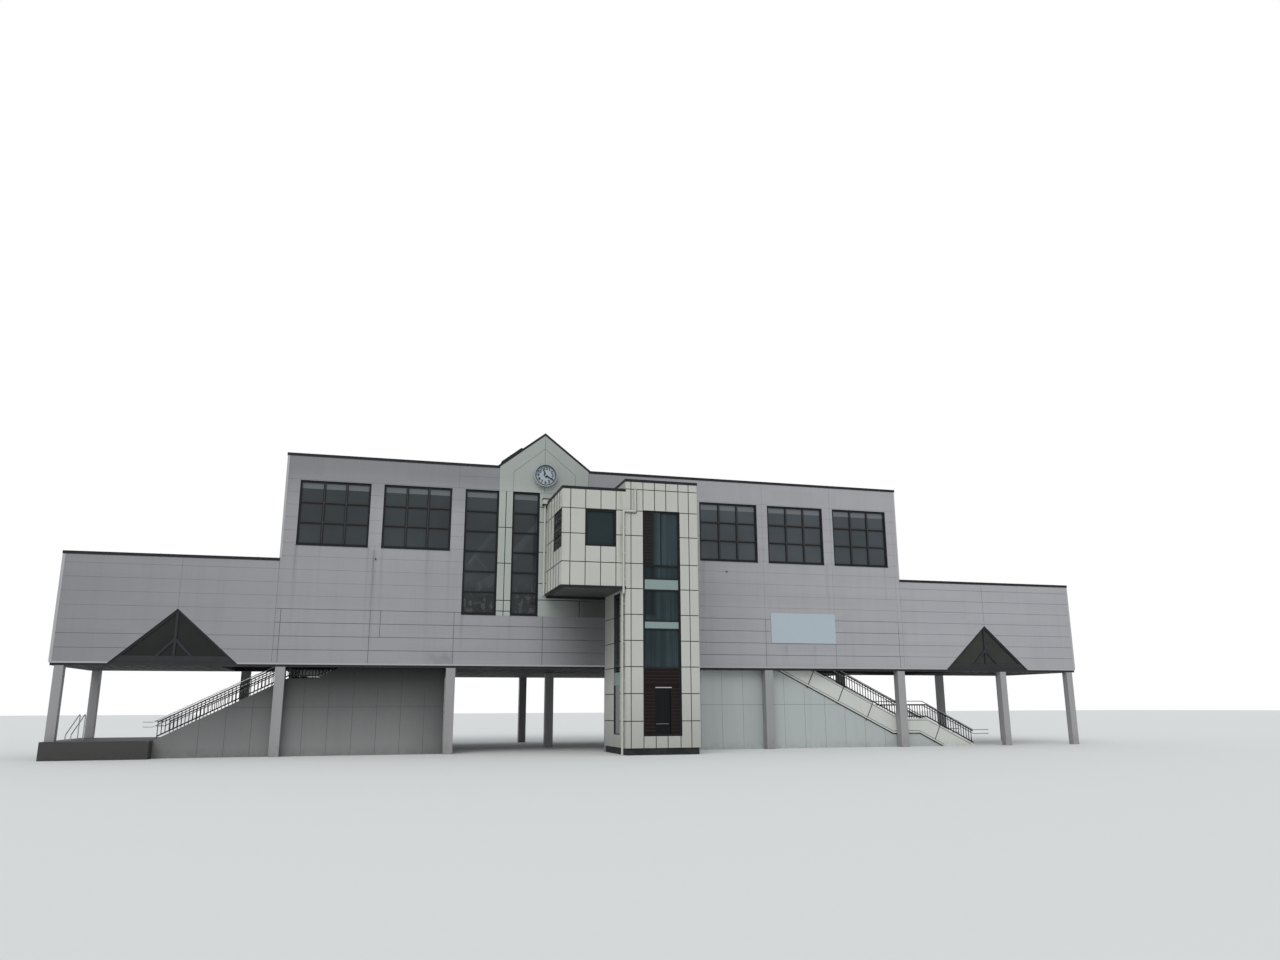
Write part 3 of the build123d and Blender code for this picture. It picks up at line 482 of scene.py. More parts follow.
def window_glass(name, colour, specular, blind=None):
    finish = Finish(name, colour, roughness=0.06, specular=specular)
    along, height = finish.along, finish.height
    # Painted reflections: slow lighter patches, lighter glass higher up, lighter lower and top rows, lighter
    # tall windows.
    slow = finish.between(finish.noise(1.3, 3, 0.5, (1, 1, 0.7)), 0.42, 0.66)
    finish.tint(darker(colour, 2.1), slow, 0.6)
    finish.tint(darker(colour, 1.6), height(6.0, 12.4), 0.5)
    finish.shade(0.3, height(11.2, 9.6))
    finish.shade(0.25, height(10.9, 11.5))
    finish.shade(0.1, along(16.6, 16.9))
    # Painted reflections in the tall windows: dark low panes with lighter shapes, and the slanted lighter
    # patches.
    tall = finish.times(along(16.6, 16.9), along(20.7, 20.5))
    low_panes = finish.times(tall, height(8.0, 7.2))
    finish.shade(-0.5, low_panes)
    shapes = finish.between(finish.noise(0.11, 4, 0.7, (1, 1, 0.6)), 0.54, 0.58)
    finish.tint((0.10, 0.11, 0.11), shapes, low_panes, 0.42)
    for reflection in REFLECTIONS:
        mirrored_edge(finish, tall, *reflection)
    # Painted reflections in the tower: darker left panes, lighter upper panes and upright lighter streaks.
    # The door's glass at the foot is darker.
    in_tower = along(24.6, 24.7)
    finish.shade(-0.6, in_tower, along(25.4, 25.25), height(6.0, 6.2))
    finish.shade(-0.9, in_tower, height(3.6, 3.0))
    finish.shade(0.5, in_tower, height(8.4, 8.5))
    upright = finish.between(finish.noise(0.09, 3, 0.6, (1, 1, 0.03)), 0.45, 0.6)
    finish.shade(0.5, in_tower, along(28, 27), upright)
    # Painted reflection: the bay's side pane is lighter.
    finish.tint((0.05, 0.055, 0.056), along(20.8, 20.85), along(21.15, 21.1), finish.depth(-1.7, -1.8), 0.8)
    if blind:
        finish.tint(BLIND_COLOUR, finish.math("GREATER_THAN", finish.z, blind[0] * SCALE),
                    finish.math("LESS_THAN", finish.z, blind[1] * SCALE), 0.75)
    return finish.done(0.7, 1, 0.004, 0.06)


def triangle_glass():
    """The two triangle windows look into open lofts, the right one with more daylight."""
    finish = Finish("triangle_glass_finish", (0.008, 0.009, 0.008), roughness=0.1, specular=0.26)
    finish.tint((0.026, 0.026, 0.022), finish.noise(0.5, 3), 0.7)
    finish.shade(1.3, finish.along(25, 26))
    return finish.done(0.7, 1, 0.004, 0.06)


COPING_METAL = coated_metal("coping_metal", (0.012, 0.012, 0.015), 0.42)
FRAME_METAL = coated_metal("frame_metal", (0.007, 0.007, 0.009), 0.38)
TRIANGLE_METAL = coated_metal("triangle_frame_metal", (0.026, 0.027, 0.032), 0.45)
RAIL_METAL = coated_metal("rail_metal", (0.010, 0.010, 0.010), 0.45)
BEAM_PAINT = coated_metal("beam_paint", (0.028, 0.027, 0.027), 0.55)
BASE_PAINT = coated_metal("base_paint", (0.016, 0.017, 0.019), 0.6, 0.25)
CLOCK_RIM = coated_metal("clock_rim_metal", (0.34, 0.37, 0.38), 0.35, 0.1)
BEZEL = coated_metal("clock_bezel_metal", (0.03, 0.035, 0.045), 0.4, 0.1)
CLOCK_INK = coated_metal("clock_ink", (0.02, 0.025, 0.05), 0.4, 0.05)
MULLION_METAL = coated_metal("mullion_metal", (0.040, 0.043, 0.044), 0.45)
SIDE_JOINT = coated_metal("side_joint_metal", (0.16, 0.162, 0.155), 0.5)
SLAT_LINE = coated_metal("slat_line_metal", (0.030, 0.026, 0.025), 0.6)
BRONZE_LINE = coated_metal("bronze_line_metal", (0.045, 0.034, 0.028), 0.45)
HALL_GLASS = window_glass("hall_glass", (0.018, 0.022, 0.024), 0.42, BLIND)
TOWER_GLASS = window_glass("tower_glass_finish", (0.010, 0.016, 0.018), 0.18)
TRIANGLE_GLASS = triangle_glass()
print("trim and glass ready")

# %% [markdown]
# ### Paint, concrete and boards
#
# Columns and stair walls collect grime near the ground. The grey stair wall stands deep under the
# hall, so it gets darker toward its top. Concrete shows pores, the roofs show dried puddles and the
# tower's brown boards show grain.

# %% Painted steel, concrete, boards and the rest


def dirty_foot(finish, reach, spot, amount, colour):
    """Grime up to a real height above the ground."""
    grime = finish.between(finish.noise(spot, 5, 0.7), 0.35, 0.7)
    finish.tint(colour, finish.height(reach, 0), grime, amount)


def column_paint():
    colour = (0.31, 0.305, 0.31)
    finish = Finish("column_paint", colour, roughness=0.5, specular=0.35)
    rain_streaks(finish, 0.25, darker(colour, 0.65))
    # Painted light: the columns are lighter towards the right, where the sky is brighter.
    finish.shade(0.08, finish.along(31, 40))
    dirty_foot(finish, 0.7, 0.09, 0.6, (0.14, 0.13, 0.11))
    return finish.done(0.01, 2, 0.0006, 0.4)


def wall_paint(name, colour, shaded=False):
    """Paint of the stair walls. The one under the hall is shaded by the deep soffit above it."""
    finish = Finish(name, colour, roughness=0.55)
    finish.tint(darker(colour, 0.8), finish.noise(1.3, 4), 0.2)
    rain_streaks(finish, 0.18, darker(colour, 0.7))
    dirty_foot(finish, 0.44, 0.12, 0.5, darker(colour, 0.45))
    if shaded:
        finish.shade(0.34, finish.height(1.5, 0.5))
        finish.shade(-0.92, finish.height(1.5, 3.4))
        finish.shade(-0.42, finish.along(14.4, 16.6))
        finish.shade(-0.12, finish.along(9.5, 7.0))
    return finish.done(0.006, 3, 0.0006, 0.4)


def concrete():
    colour = (0.30, 0.295, 0.28)
    finish = Finish("concrete", colour, roughness=0.85)
    finish.tint(darker(colour, 0.72), finish.noise(0.5, 5), 0.45)
    pores = finish.node("ShaderNodeTexVoronoi", "Distance", {"Scale": 55, "Vector": finish.place})
    finish.tint(darker(colour, 0.5), finish.math("LESS_THAN", pores, 0.13), 0.4)
    finish.bump(finish.noise(0.02, 5, 0.7), 0.002, 0.5)
    return finish.done()


def roof_membrane():
    colour = (0.27, 0.275, 0.28)
    finish = Finish("roof_membrane", colour, roughness=0.75)
    finish.tint(darker(colour, 0.65), finish.between(finish.noise(1.4, 5, 0.65), 0.45, 0.7), 0.5)
    finish.tint((0.2, 0.2, 0.16), finish.between(finish.noise(0.3, 4), 0.6, 0.8), 0.4)
    return finish.done(0.02, 3, 0.001, 0.5)


def soffit_boards():
    # Near black: dark paint, darkened further as painted shade under the building.
    colour = (0.036, 0.036, 0.037)
    finish = Finish("soffit_boards", colour, roughness=0.65, specular=0.25)
    finish.tint(darker(colour, 0.7), finish.noise(0.9, 4), 0.35)
    return finish.done(0.012, 3, 0.0006, 0.4)


def brown_boards():
    finish = Finish("brown_boards", (0.0135, 0.011, 0.0108), roughness=0.65, specular=0.15)
    grain = finish.noise(0.03, 5, 0.7, (0.12, 1, 1))
    finish.tint((0.024, 0.017, 0.015), finish.between(grain, 0.4, 0.7), 0.6)
    finish.tint((0.0125, 0.0062, 0.0062), finish.height(8, 4), 0.9)
    finish.bump(grain, 0.001, 0.5)
    return finish.done()


def rail_steel():
    finish = Finish("rail_steel", (0.55, 0.55, 0.56), roughness=0.3, metallic=1.0)
    finish.rough_range(finish.noise(0.05, 3, 0.6, (1, 1, 0.2)), 0.22, 0.42)
    return finish.done()


def flat_panel(name, colour, roughness=0.35):
    finish = Finish(name, colour, roughness=roughness)
    finish.tint(darker(colour, 0.82), finish.noise(0.7, 3), 0.22)
    return finish.done(0.01, 2, 0.0003, 0.3)


COLUMN_PAINT = column_paint()
STAIR_GREY = wall_paint("stair_side_grey", (0.158, 0.156, 0.155), shaded=True)
STAIR_WHITE = wall_paint("stair_side_white", (0.435, 0.465, 0.46))
STRING_WHITE = wall_paint("string_band_white", (0.60, 0.61, 0.57))
LOW_WALL = wall_paint("low_wall_render", (0.040, 0.038, 0.036))
CONCRETE = concrete()
ROOF = roof_membrane()
SOFFIT_BOARDS = soffit_boards()
BROWN_BOARDS = brown_boards()
STEEL = rail_steel()
PALE_PANEL = flat_panel("pale_band_panel", (0.225, 0.305, 0.29))
SIGN_PANEL = flat_panel("bare_sign_panel", (0.42, 0.48, 0.53))
PIPE_PAINT = flat_panel("pipe_paint", (0.50, 0.50, 0.45), 0.4)
WALL_BACKING = flat_panel("wall_backing", (0.10, 0.10, 0.105), 0.8)
# The bay floor's underside: dark grey paint, darkened as painted shade.
SOFFIT_PANEL = flat_panel("soffit_panel", (0.071, 0.084, 0.079), 0.6)
TRIM_PAINT = flat_panel("trim_paint", (0.40, 0.40, 0.41), 0.4)
CLOCK_FACE = flat_panel("clock_face_finish", (0.40, 0.45, 0.49), 0.3)
print("finishes:", len(bpy.data.materials))

# %% [markdown]
# ## Finishes on the CAD nodes
#
# A node of the frame keeps its shape and only gets a finish. The wall slabs behind the panels get a
# dark backing or the joints' dark colour, because only the gaps between panels show them from outside.

# %% Give each node its finish
NODE_FINISH = {
    WALL_BACKING: ["left_wing_front_wall", "right_wing_front_wall", "wing_end_walls", "wing_rear_walls",
                   "hall_front_walls", "hall_rear_walls", "hall_end_walls", "hall_end_walls_lower",
                   "right_stair_side_wall", "left_stair_side_wall"],
    SEALANT_AND_SHADOW: ["gable_front_wall", "gable_rear_wall", "bay_walls", "tower_front_wall",
              "tower_side_walls", "tower_rear_wall"],
    COPING_METAL: ["wing_copings", "hall_copings", "gable_copings", "bay_and_tower_copings"],
    ROOF: ["wing_roofs", "hall_roof", "gable_roof", "bay_and_tower_roofs"],
    FRAME_METAL: ["front_window_frames", "rear_window_frames", "bay_window_frames",
                  "tower_glazing_frames"],
    TRIANGLE_METAL: ["triangle_window_frames"],
    HALL_GLASS: ["front_window_glass", "rear_window_glass"],
    TOWER_GLASS: ["bay_window_glass", "tower_glass"],
    TRIANGLE_GLASS: ["triangle_window_glass"],
    COLUMN_PAINT: ["front_pillars", "rear_pillars"],
    BEAM_PAINT: ["edge_beams"],
    STAIR_WHITE: ["left_stair_strings", "right_stair_strings"],
    CONCRETE: ["concourse_floor", "stair_treads", "stair_slabs", "stair_landings"],
    LOW_WALL: ["low_plinth_wall"],
    BASE_PAINT: ["tower_plinth"],
    SOFFIT_PANEL: ["bay_floor"],
    SOFFIT_BOARDS: ["undercroft_ceiling", "wing_ceilings"],
    RAIL_METAL: ["left_stair_railings", "right_stair_railings"],
    BROWN_BOARDS: ["tower_brown_boards"],
    PALE_PANEL: ["tower_pale_panels"],
    CLOCK_RIM: ["clock_case"],
    CLOCK_FACE: ["clock_dial"],
    CLOCK_INK: ["clock_hour_hand", "clock_minute_hand"],
    PIPE_PAINT: ["rainwater_pipes"],
    SIGN_PANEL: ["blank_sign_boards"],
}
given = [(nodes[name].data, finish) for finish, names in NODE_FINISH.items() for name in names]
for mesh, finish in given:
    if not mesh.materials:
        mesh.materials.append(finish)
    for index in range(len(mesh.materials)):
        mesh.materials[index] = finish
print("nodes with a finish:", len(given), "of", len(nodes))

# %% [markdown]
# ## Panels on the walls
#
# The walls are covered by panels with open joints between them. Drawing the joints in a texture
# would look flat from the side, so each wall gets a thin skin of real panels. The skin starts as one
# flat outline. It is cut along every joint and every window edge, the strips inside the joints and
# the windows are taken away, and what is left is given a thickness. Grey boards hide their joints
# almost completely, white panels show wide dark ones.

# %% Cut a wall outline into panels
ENDLESS = 1000


def inside(point, polygon):
    """Whether a flat point lies in a convex polygon whose corners run anticlockwise."""
    for (ax, ay), (bx, by) in zip(polygon, polygon[1:] + polygon[:1]):
        if (bx - ax) * (point[1] - ay) - (by - ay) * (point[0] - ax) < 0:
            return False
    return True


def rectangle(s0, s1, z0, z1):
    return [(s0, z0), (s1, z0), (s1, z1), (s0, z1)]


def groove(start, end, width):
    """A thin slanted joint between two points, as a polygon."""
    along = Vector((end[0] - start[0], end[1] - start[1])).normalized()
    aside = Vector((-along.y, along.x)) * width / 2
    corners = [Vector(start) - aside, Vector(end) - aside, Vector(end) + aside, Vector(start) + aside]
    return [tuple(corner) for corner in corners]


def flat(*outlines):
    """Flat faces in along and up, one for each outline."""
    skin = bmesh.new()
    for outline in outlines:
        skin.faces.new([skin.verts.new((s, z, 0)) for s, z in outline])
    return skin


def front_of(node, y):
    """The faces of a CAD node that look to the front at the depth y, as flat faces."""
    skin = bmesh.new()
    mesh = nodes[node].data
    for polygon in mesh.polygons:
        corners = [mesh.vertices[i].co for i in polygon.vertices]
        if polygon.normal.y < -0.99 and abs(corners[0].y - at(0, y, 0).y) < 0.002:
            spots = [real(corner) for corner in corners]
            skin.faces.new([skin.verts.new((spot.x, spot.z, 0)) for spot in spots])
    bmesh.ops.remove_doubles(skin, verts=skin.verts[:], dist=0.001)
    bmesh.ops.dissolve_limit(skin, angle_limit=0.01, verts=skin.verts[:], edges=skin.edges[:])
    return skin


def cut(skin, point, normal):
    """Cut the flat faces along the line through a point, given the line's normal."""
    bmesh.ops.bisect_plane(skin, geom=skin.verts[:] + skin.edges[:] + skin.faces[:],
                           plane_co=(*point, 0), plane_no=(*normal, 0), dist=1e-5)


def wall_skin(name, place, skin, holes, upright, level, gap, thick, finish):
    """Panels over a wall. place turns (along, up, out) in real metres into a point of the frame.

    upright and level list the joints: a number, or (number, from, to) for a joint of part length.
    """
    joints = []
    normals = ((1, 0), (0, 1))
    for axis, entries in enumerate((upright, level)):
        for entry in entries:
            middle, low, high = entry if isinstance(entry, tuple) else (entry, -ENDLESS, ENDLESS)
            joints.append((axis, middle, low, high))
            cuts = [(axis, middle - gap / 2), (axis, middle + gap / 2), (1 - axis, low), (1 - axis, high)]
            for across, spot in cuts:
                if abs(spot) < ENDLESS:
                    normal = normals[across]
                    cut(skin, (spot * normal[0], spot * normal[1]), normal)
    for polygon in holes:
        for (ax, ay), (bx, by) in zip(polygon, polygon[1:] + polygon[:1]):
            cut(skin, (ax, ay), (by - ay, ax - bx))
    gone = []
    for face in skin.faces:
        point = face.calc_center_median()[:2]
        in_joint = any(abs(point[axis] - spot) < gap / 2 and low < point[1 - axis] < high
                       for axis, spot, low, high in joints)
        if in_joint or any(inside(point, polygon) for polygon in holes):
            gone.append(face)
    bmesh.ops.delete(skin, geom=gone, context="FACES")
    raised = bmesh.ops.extrude_face_region(skin, geom=skin.faces[:], use_keep_orig=True)
    for corner in [item for item in raised["geom"] if isinstance(item, bmesh.types.BMVert)]:
        corner.co.z += thick
    for corner in skin.verts:
        corner.co = place(*corner.co)
    return finished(name, skin, finish)


def finished(name, shape, finish):
    """Turn a bmesh into a piece that rides on the building, with its faces outward."""
    bmesh.ops.recalc_face_normals(shape, faces=shape.faces[:])
    mesh = bpy.data.meshes.new(name)
    shape.to_mesh(mesh)
    shape.free()
    mesh.materials.append(finish)
    piece = put(name, mesh)
    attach(piece, "building")
    return piece


def facing_front(y):
    return lambda s, z, out: at(s, y - out, z)


def facing_back(y):
    return lambda s, z, out: at(s, y + out, z)


def facing_left(x):
    return lambda s, z, out: at(x - out, s, z)


def facing_right(x):
    return lambda s, z, out: at(x + out, s, z)


def count(word):
    return len([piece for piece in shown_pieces() if word in piece.name])


print("panel cutter ready")

# %% [markdown]
# ### Grey boards
#
# The lower part of a wall has open joints and the upper part fine ones, as in the photograph. Each
# wing has a triangle window cut into its lower edge. The back repeats the front in a plain way.

# %% Grey boards of the wings and the hall
BOARD_GAP = 0.02
WING_GAP = 0.013
FINE_GAP = 0.007
BOARD_THICK = 0.02
BREAK = 6.4
WING_BREAK = 5.8
EAVES = 13.5
WING_EAVES = 8.56
WHITE_LOW = 6.3
PANE_LOW, PANE_HIGH = 9.35, 12.36
PANE_WIDTH = 3.17
TALL_LOW = 6.35
HALL_X0, HALL_X1 = 8.73, 40.14
GABLE_X0, GABLE_X1 = 18.54, 23.0
TOWER_SIDE = 23.89
TRIANGLE_TOP = 6.31
LEFT_WINDOWS = [(9.35, 12.52), (13.11, 16.28)]
RIGHT_WINDOWS = [(28.83, 32.0), (32.59, 35.76), (36.35, 39.52)]
TALL = [(16.91, 18.54), (19.2, 20.54)]
LEFT_TRIANGLE = [(2.23, SOFFIT), (7.28, SOFFIT), (4.72, TRIANGLE_TOP)]
RIGHT_TRIANGLE = [(42.7, SOFFIT), (47.66, SOFFIT), (45.18, TRIANGLE_TOP)]


def courses(low, high):
    """Heights of the level joints between two heights."""
    return [z for z in (SOFFIT + COURSE * i for i in range(1, 16)) if low < z < high]


def holes_for(windows, low, high):
    return [rectangle(a, b, low, high) for a, b in windows]


def boards(name, place, outlines, holes, upright, level=None, gap=BOARD_GAP):
    level = courses(0, ENDLESS) if level is None else level
    wall_skin(name + "_boards", place, flat(*[rectangle(*outline) for outline in outlines]), holes,
              upright, level, gap, BOARD_THICK, CLADDING)


front = facing_front(0)
left_wing, right_wing = (0, 8.72), (40.15, LENGTH)
boards("left_wing_low", front, [(*left_wing, SOFFIT, WING_BREAK)], [LEFT_TRIANGLE], [],
       courses(0, WING_BREAK - 0.1) + [WING_BREAK], WING_GAP)
boards("left_wing_high", front, [(*left_wing, WING_BREAK, WING_EAVES)], [LEFT_TRIANGLE],
       [(4.72, TRIANGLE_TOP, 20)], courses(WING_BREAK + 0.1, WING_EAVES), FINE_GAP)
boards("right_wing_front", front, [(*right_wing, SOFFIT, WING_EAVES)], [RIGHT_TRIANGLE],
       [(45.18, TRIANGLE_TOP, 20)], gap=WING_GAP)
left_holes = holes_for(LEFT_WINDOWS, PANE_LOW, PANE_HIGH) + holes_for(TALL[:1], TALL_LOW, PANE_HIGH)
right_holes = holes_for(RIGHT_WINDOWS, PANE_LOW, PANE_HIGH)
low_courses, high_courses = courses(0, BREAK), courses(BREAK, 12.9)
boards("hall_left_low", front, [(HALL_X0, GABLE_X0, SOFFIT, BREAK)], left_holes,
       [8.95, 12.81, 16.6, (13.27, 5.2, BREAK)], low_courses)
boards("hall_left_high", front, [(HALL_X0, GABLE_X0, BREAK + BOARD_GAP, EAVES)], left_holes,
       [(12.81, BREAK, PANE_LOW), (16.6, PANE_HIGH, EAVES)], high_courses + [(13.0, 16.6, 19)], FINE_GAP)
boards("hall_right_low", front, [(27.36, HALL_X1, SOFFIT, BREAK)], [], [32.3, 36.2, 39.9], low_courses)
boards("hall_right_high", front,
       [(27.36, HALL_X1, BREAK + BOARD_GAP, EAVES), (GABLE_X1, 27.36, 11.7, EAVES)],
       right_holes, [27.6, 32.3, 36.2, 39.9], high_courses, FINE_GAP)
boards("gable_foot", front, [(GABLE_X0, TOWER_SIDE, SOFFIT, WHITE_LOW)], [], [20.79], low_courses)
print("front boards:", count("boards"))

# %% Grey boards of the ends and the back
STEP_TOP = WING_EAVES + 0.15
end_window = rectangle((DEPTH - PANE_WIDTH) / 2, (DEPTH + PANE_WIDTH) / 2, PANE_LOW, PANE_HIGH)
side_joints = [3.6, 7.2, 10.8]
for name, place in (("left_end", facing_left(0)), ("right_end", facing_right(LENGTH))):
    boards(name, place, [(0, WING_DEPTH, SOFFIT, WING_EAVES)], [], [3.2])
for side, place in (("left", facing_left(8.72)), ("right", facing_right(40.15))):
    boards(f"hall_{side}_end", place, [(0, DEPTH, STEP_TOP, EAVES)], [end_window], side_joints,
           courses(8.8, 13.1))
    boards(f"hall_{side}_end_low", place, [(WING_DEPTH, DEPTH, SOFFIT, STEP_TOP)], [],
           side_joints[1:], courses(0, 8.7))
back, wing_back = facing_back(DEPTH), facing_back(WING_DEPTH)
boards("hall_left_back", back, [(HALL_X0, GABLE_X0, SOFFIT, EAVES)], left_holes, [12.81, 16.6],
       courses(0, 13.1))
boards("hall_right_back", back, [(GABLE_X1, HALL_X1, SOFFIT, EAVES)], right_holes, [27.6, 32.3, 36.2],
       courses(0, 13.1))
boards("gable_foot_back", back, [(GABLE_X0, GABLE_X1, SOFFIT, WHITE_LOW)], [], [20.79])
boards("left_wing_back", wing_back, [(*left_wing, SOFFIT, WING_EAVES)], [], [4.4])
boards("right_wing_back", wing_back, [(*right_wing, SOFFIT, WING_EAVES)], [], [45.2])
print("all boards:", count("boards"))

# %% [markdown]
# ### White panels
#
# The gable has pilasters with wide joints and large plates above them, whose fine joints follow the
# roof's slope. The bay and the tower have tall panels between dark joints.

# %% White panels of the gable
PANEL_GAP = 0.04
PANEL_THICK = 0.03
SEAM = 0.014
RIDGE_X, RIDGE = 20.75, 15.31
GABLE_FALL = (15.44 - 13.63) / (RIDGE_X - 18.43)
GABLE_LINE = 12.36
PLATE_LOW, PLATE_HIGH = 13.35, 14.62
PLATE_LEFT, PLATE_MIDDLE, PLATE_RIGHT = 19.22, 20.76, 22.3


def panels(name, place, outline, holes, upright, level, gap=PANEL_GAP, thick=PANEL_THICK, finish=PANELS):
    wall_skin(name, place, flat(outline), holes, upright, level, gap, thick, finish)


def gable_panels(name, place):
    """Pilasters with wide joints below, and large plates with fine joints in the point above."""
    x0, x1 = GABLE_X0, 22.98
    level = [(z, 18, 20) for z in (6.52, 7.03, 8.81, 10.56)]
    level += [(z, 20, 23) for z in (7.09, 7.89, 9.41, 10.89, 11.65)]
    panels(name + "_pilasters", place, rectangle(x0, x1, WHITE_LOW, GABLE_LINE),
           holes_for(TALL[1:], TALL_LOW, PANE_HIGH),
           [18.88, (21.35, 7.3, 20), (22.57, WHITE_LOW, 7.09)], level, finish=GABLE_PANELS)
    low, peak = GABLE_LINE + 0.01, (PLATE_MIDDLE, PLATE_HIGH)
    left, right = [RIDGE - abs(x - RIDGE_X) * GABLE_FALL for x in (x0, x1)]
    panels(name + "_point", place, [(x0, low), (x1, low), (x1, right), (RIDGE_X, RIDGE), (x0, left)],
           [groove((PLATE_LEFT, PLATE_LOW), peak, SEAM), groove(peak, (PLATE_RIGHT, PLATE_LOW), SEAM)],
           [(PLATE_LEFT, 12.4, PLATE_LOW), (PLATE_RIGHT, 12.4, PLATE_LOW), PLATE_MIDDLE], [],
           SEAM, finish=GABLE_PANELS)


gable_panels("gable_front", front)
gable_panels("gable_back", back)
panels("gable_foot_panel", front, rectangle(22.98, TOWER_SIDE, WHITE_LOW, 7.3), [], [], [7.09],
       finish=GABLE_PANELS)
print("gable panels ready")

# %% White panels of the bay and the tower
OUT_Y = tower_low.y
TOWER_X0, TOWER_X1 = tower_low.x, tower_high.x
BAY_X0 = bay_low.x
BAY_LOW, BAY_EAVES = bay_low.z, bay_high.z
TOWER_LOW, TOWER_EAVES = 0.3, tower_high.z
STRIP_LOW, STRIP_HIGH = 0.8, 10.95
SIDE_LOW, SIDE_HIGH = 9.12, 10.93
SIDE_BARS = (-3.24, -2.58)
TOWER_ROWS = [11.92, 10.9, 9.74, 8.45, 7.3, 6.135, 4.97, 3.815, 2.64, 1.45]
BAY_ROWS = TOWER_ROWS[1:4]

out_front = facing_front(OUT_Y)
bay_left, tower_left = facing_left(BAY_X0), facing_left(TOWER_X0)
panels("bay_front_panels", out_front, rectangle(BAY_X0, TOWER_X0, BAY_LOW, BAY_EAVES),
       [rectangle(22.0, 23.43, 9.18, 10.89)],
       [21.3, 22.0, (22.715, 10.89, 20), (22.715, 0, 9.18), 23.43], BAY_ROWS)
strip_joints = (25.28, 25.83, 26.43)
panels("tower_front_panels", out_front, rectangle(TOWER_X0, TOWER_X1, TOWER_LOW, TOWER_EAVES),
       [rectangle(24.72, 26.5, STRIP_LOW, STRIP_HIGH)],
       [24.14, 24.72, *[(x, STRIP_HIGH, 20) for x in strip_joints], 26.94,
        *[(x, 0, STRIP_LOW) for x in strip_joints]], TOWER_ROWS)
panels("bay_side_panels", bay_left, rectangle(OUT_Y, 0, BAY_LOW, BAY_EAVES),
       [rectangle(-3.78, -1.92, SIDE_LOW, SIDE_HIGH)],
       [*[(y, 0, SIDE_LOW) for y in SIDE_BARS], *[(y, SIDE_HIGH, 20) for y in SIDE_BARS],
        -1.92, -1.2, -0.5], BAY_ROWS, gap=0.055, thick=0.01)
panels("tower_left_panels", tower_left, rectangle(OUT_Y, 0, TOWER_LOW, BAY_LOW),
       [rectangle(-2.88, -1.72, 0.84, 7.2)], [-2.88, -1.72, -0.86], TOWER_ROWS[5:])
panels("tower_left_high_panels", tower_left, rectangle(OUT_Y, 0, 11.93, TOWER_EAVES), [],
       [-2.88, -1.62, -0.75], [])
panels("tower_right_panels", facing_right(TOWER_X1), rectangle(OUT_Y, 0, TOWER_LOW, TOWER_EAVES), [],
       [-3.1, -2.3, -1.55, -0.75], TOWER_ROWS)
print("panelled pieces:", count("panels"))

# %% [markdown]
# ## Panels along the stairs
#
# The stairs have flush side walls. The left one stands in the shade of the building and is grey, the
# right one is white and lies behind a sloping band. Their outlines are already in the frame, so the
# skin starts from the node's own front face and is cut there.

# %% Skins of the stair walls
STAIR_Y = 0.5
STAIR_FALL = 0.5
SIDE_GAP = 0.012
SIDE_THICK = 0.015
STRING_GAP = 0.05
STRING_THICK = 0.014
RIGHT_STAIR = [(44.12, 0), (41.42, 1.35), (39.85, 1.35), (33.25, 4.65), (32.05, 4.65), (29.05, 6.15)]
BAND_DROP = -0.82


def lifted(line, rise, level_rise):
    """A line over the right stair that lies rise above the flights and level_rise above landings."""
    shift = (rise - level_rise) / STAIR_FALL
    (x0, z0), *bends, (x1, z1) = line
    return [(x0, z0 + rise)] + [(x + shift, z + level_rise) for x, z in bends] + [(x1, z1 + rise)]


def ribbon(name, line, low, high, y0, y1, finish):
    """A thin strip along a line of x, z points, between two heights over it and two depths."""
    shape = bmesh.new()
    rings = [[shape.verts.new(at(x, y, z + h)) for y, h in ((y0, low), (y0, high), (y1, high), (y1, low))]
             for x, z in line]
    band(shape, rings)
    shape.faces.new(rings[0])
    shape.faces.new(rings[-1])
    finished(name, shape, finish)


def band(shape, rings):
    """Faces between each ring of corners and the next."""
    for first, second in zip(rings, rings[1:]):
        for i in range(len(first)):
            j = (i + 1) % len(first)
            shape.faces.new((first[i], first[j], second[j], second[i]))


for side, y, joints, level, finish, slot in (
        ("left", STAIR_Y, [5.96 + 1.055 * i for i in range(10)], (2.11, 5.9, 17), STAIR_GREY, "column_paint"),
        ("right", STAIR_Y + 0.05, [27.8 + 1.125 * i for i in range(12)], 2.16, STAIR_WHITE, "stair_white")):
    wall_skin(f"{side}_stair_side_panels", facing_front(y), front_of(f"{side}_stair_side_wall", y), [],
              joints, [level], SIDE_GAP, SIDE_THICK, finish)
string_front = facing_front(STAIR_Y)
string_cuts = [groove((x - 0.40, z - 0.85), (x + 0.06, z + 0.12), STRING_GAP)
               for x, z in ((28.4, 7.15), (30.07, 6.3), (35.1, 3.84), (36.77, 3.03), (38.39, 2.2),
                            (42.3, 1.05))]
wall_skin("right_string_panels", string_front, front_of("right_stair_strings", STAIR_Y), string_cuts,
          [], [], 0, STRING_THICK, STRING_WHITE)
wall_skin("right_string_gaps", string_front, flat(*string_cuts), [], [], [], 0, 0.004, SEALANT_AND_SHADOW)
band_top = lifted(RIGHT_STAIR, 0.15, 0.07)
band_low = lifted([(42.48, -BAND_DROP)] + RIGHT_STAIR[1:], BAND_DROP, -0.65)
painted_shadow_line = [(42.37, 0.875 + BAND_DROP)] + band_low[1:]
skin_y = STAIR_Y - STRING_THICK
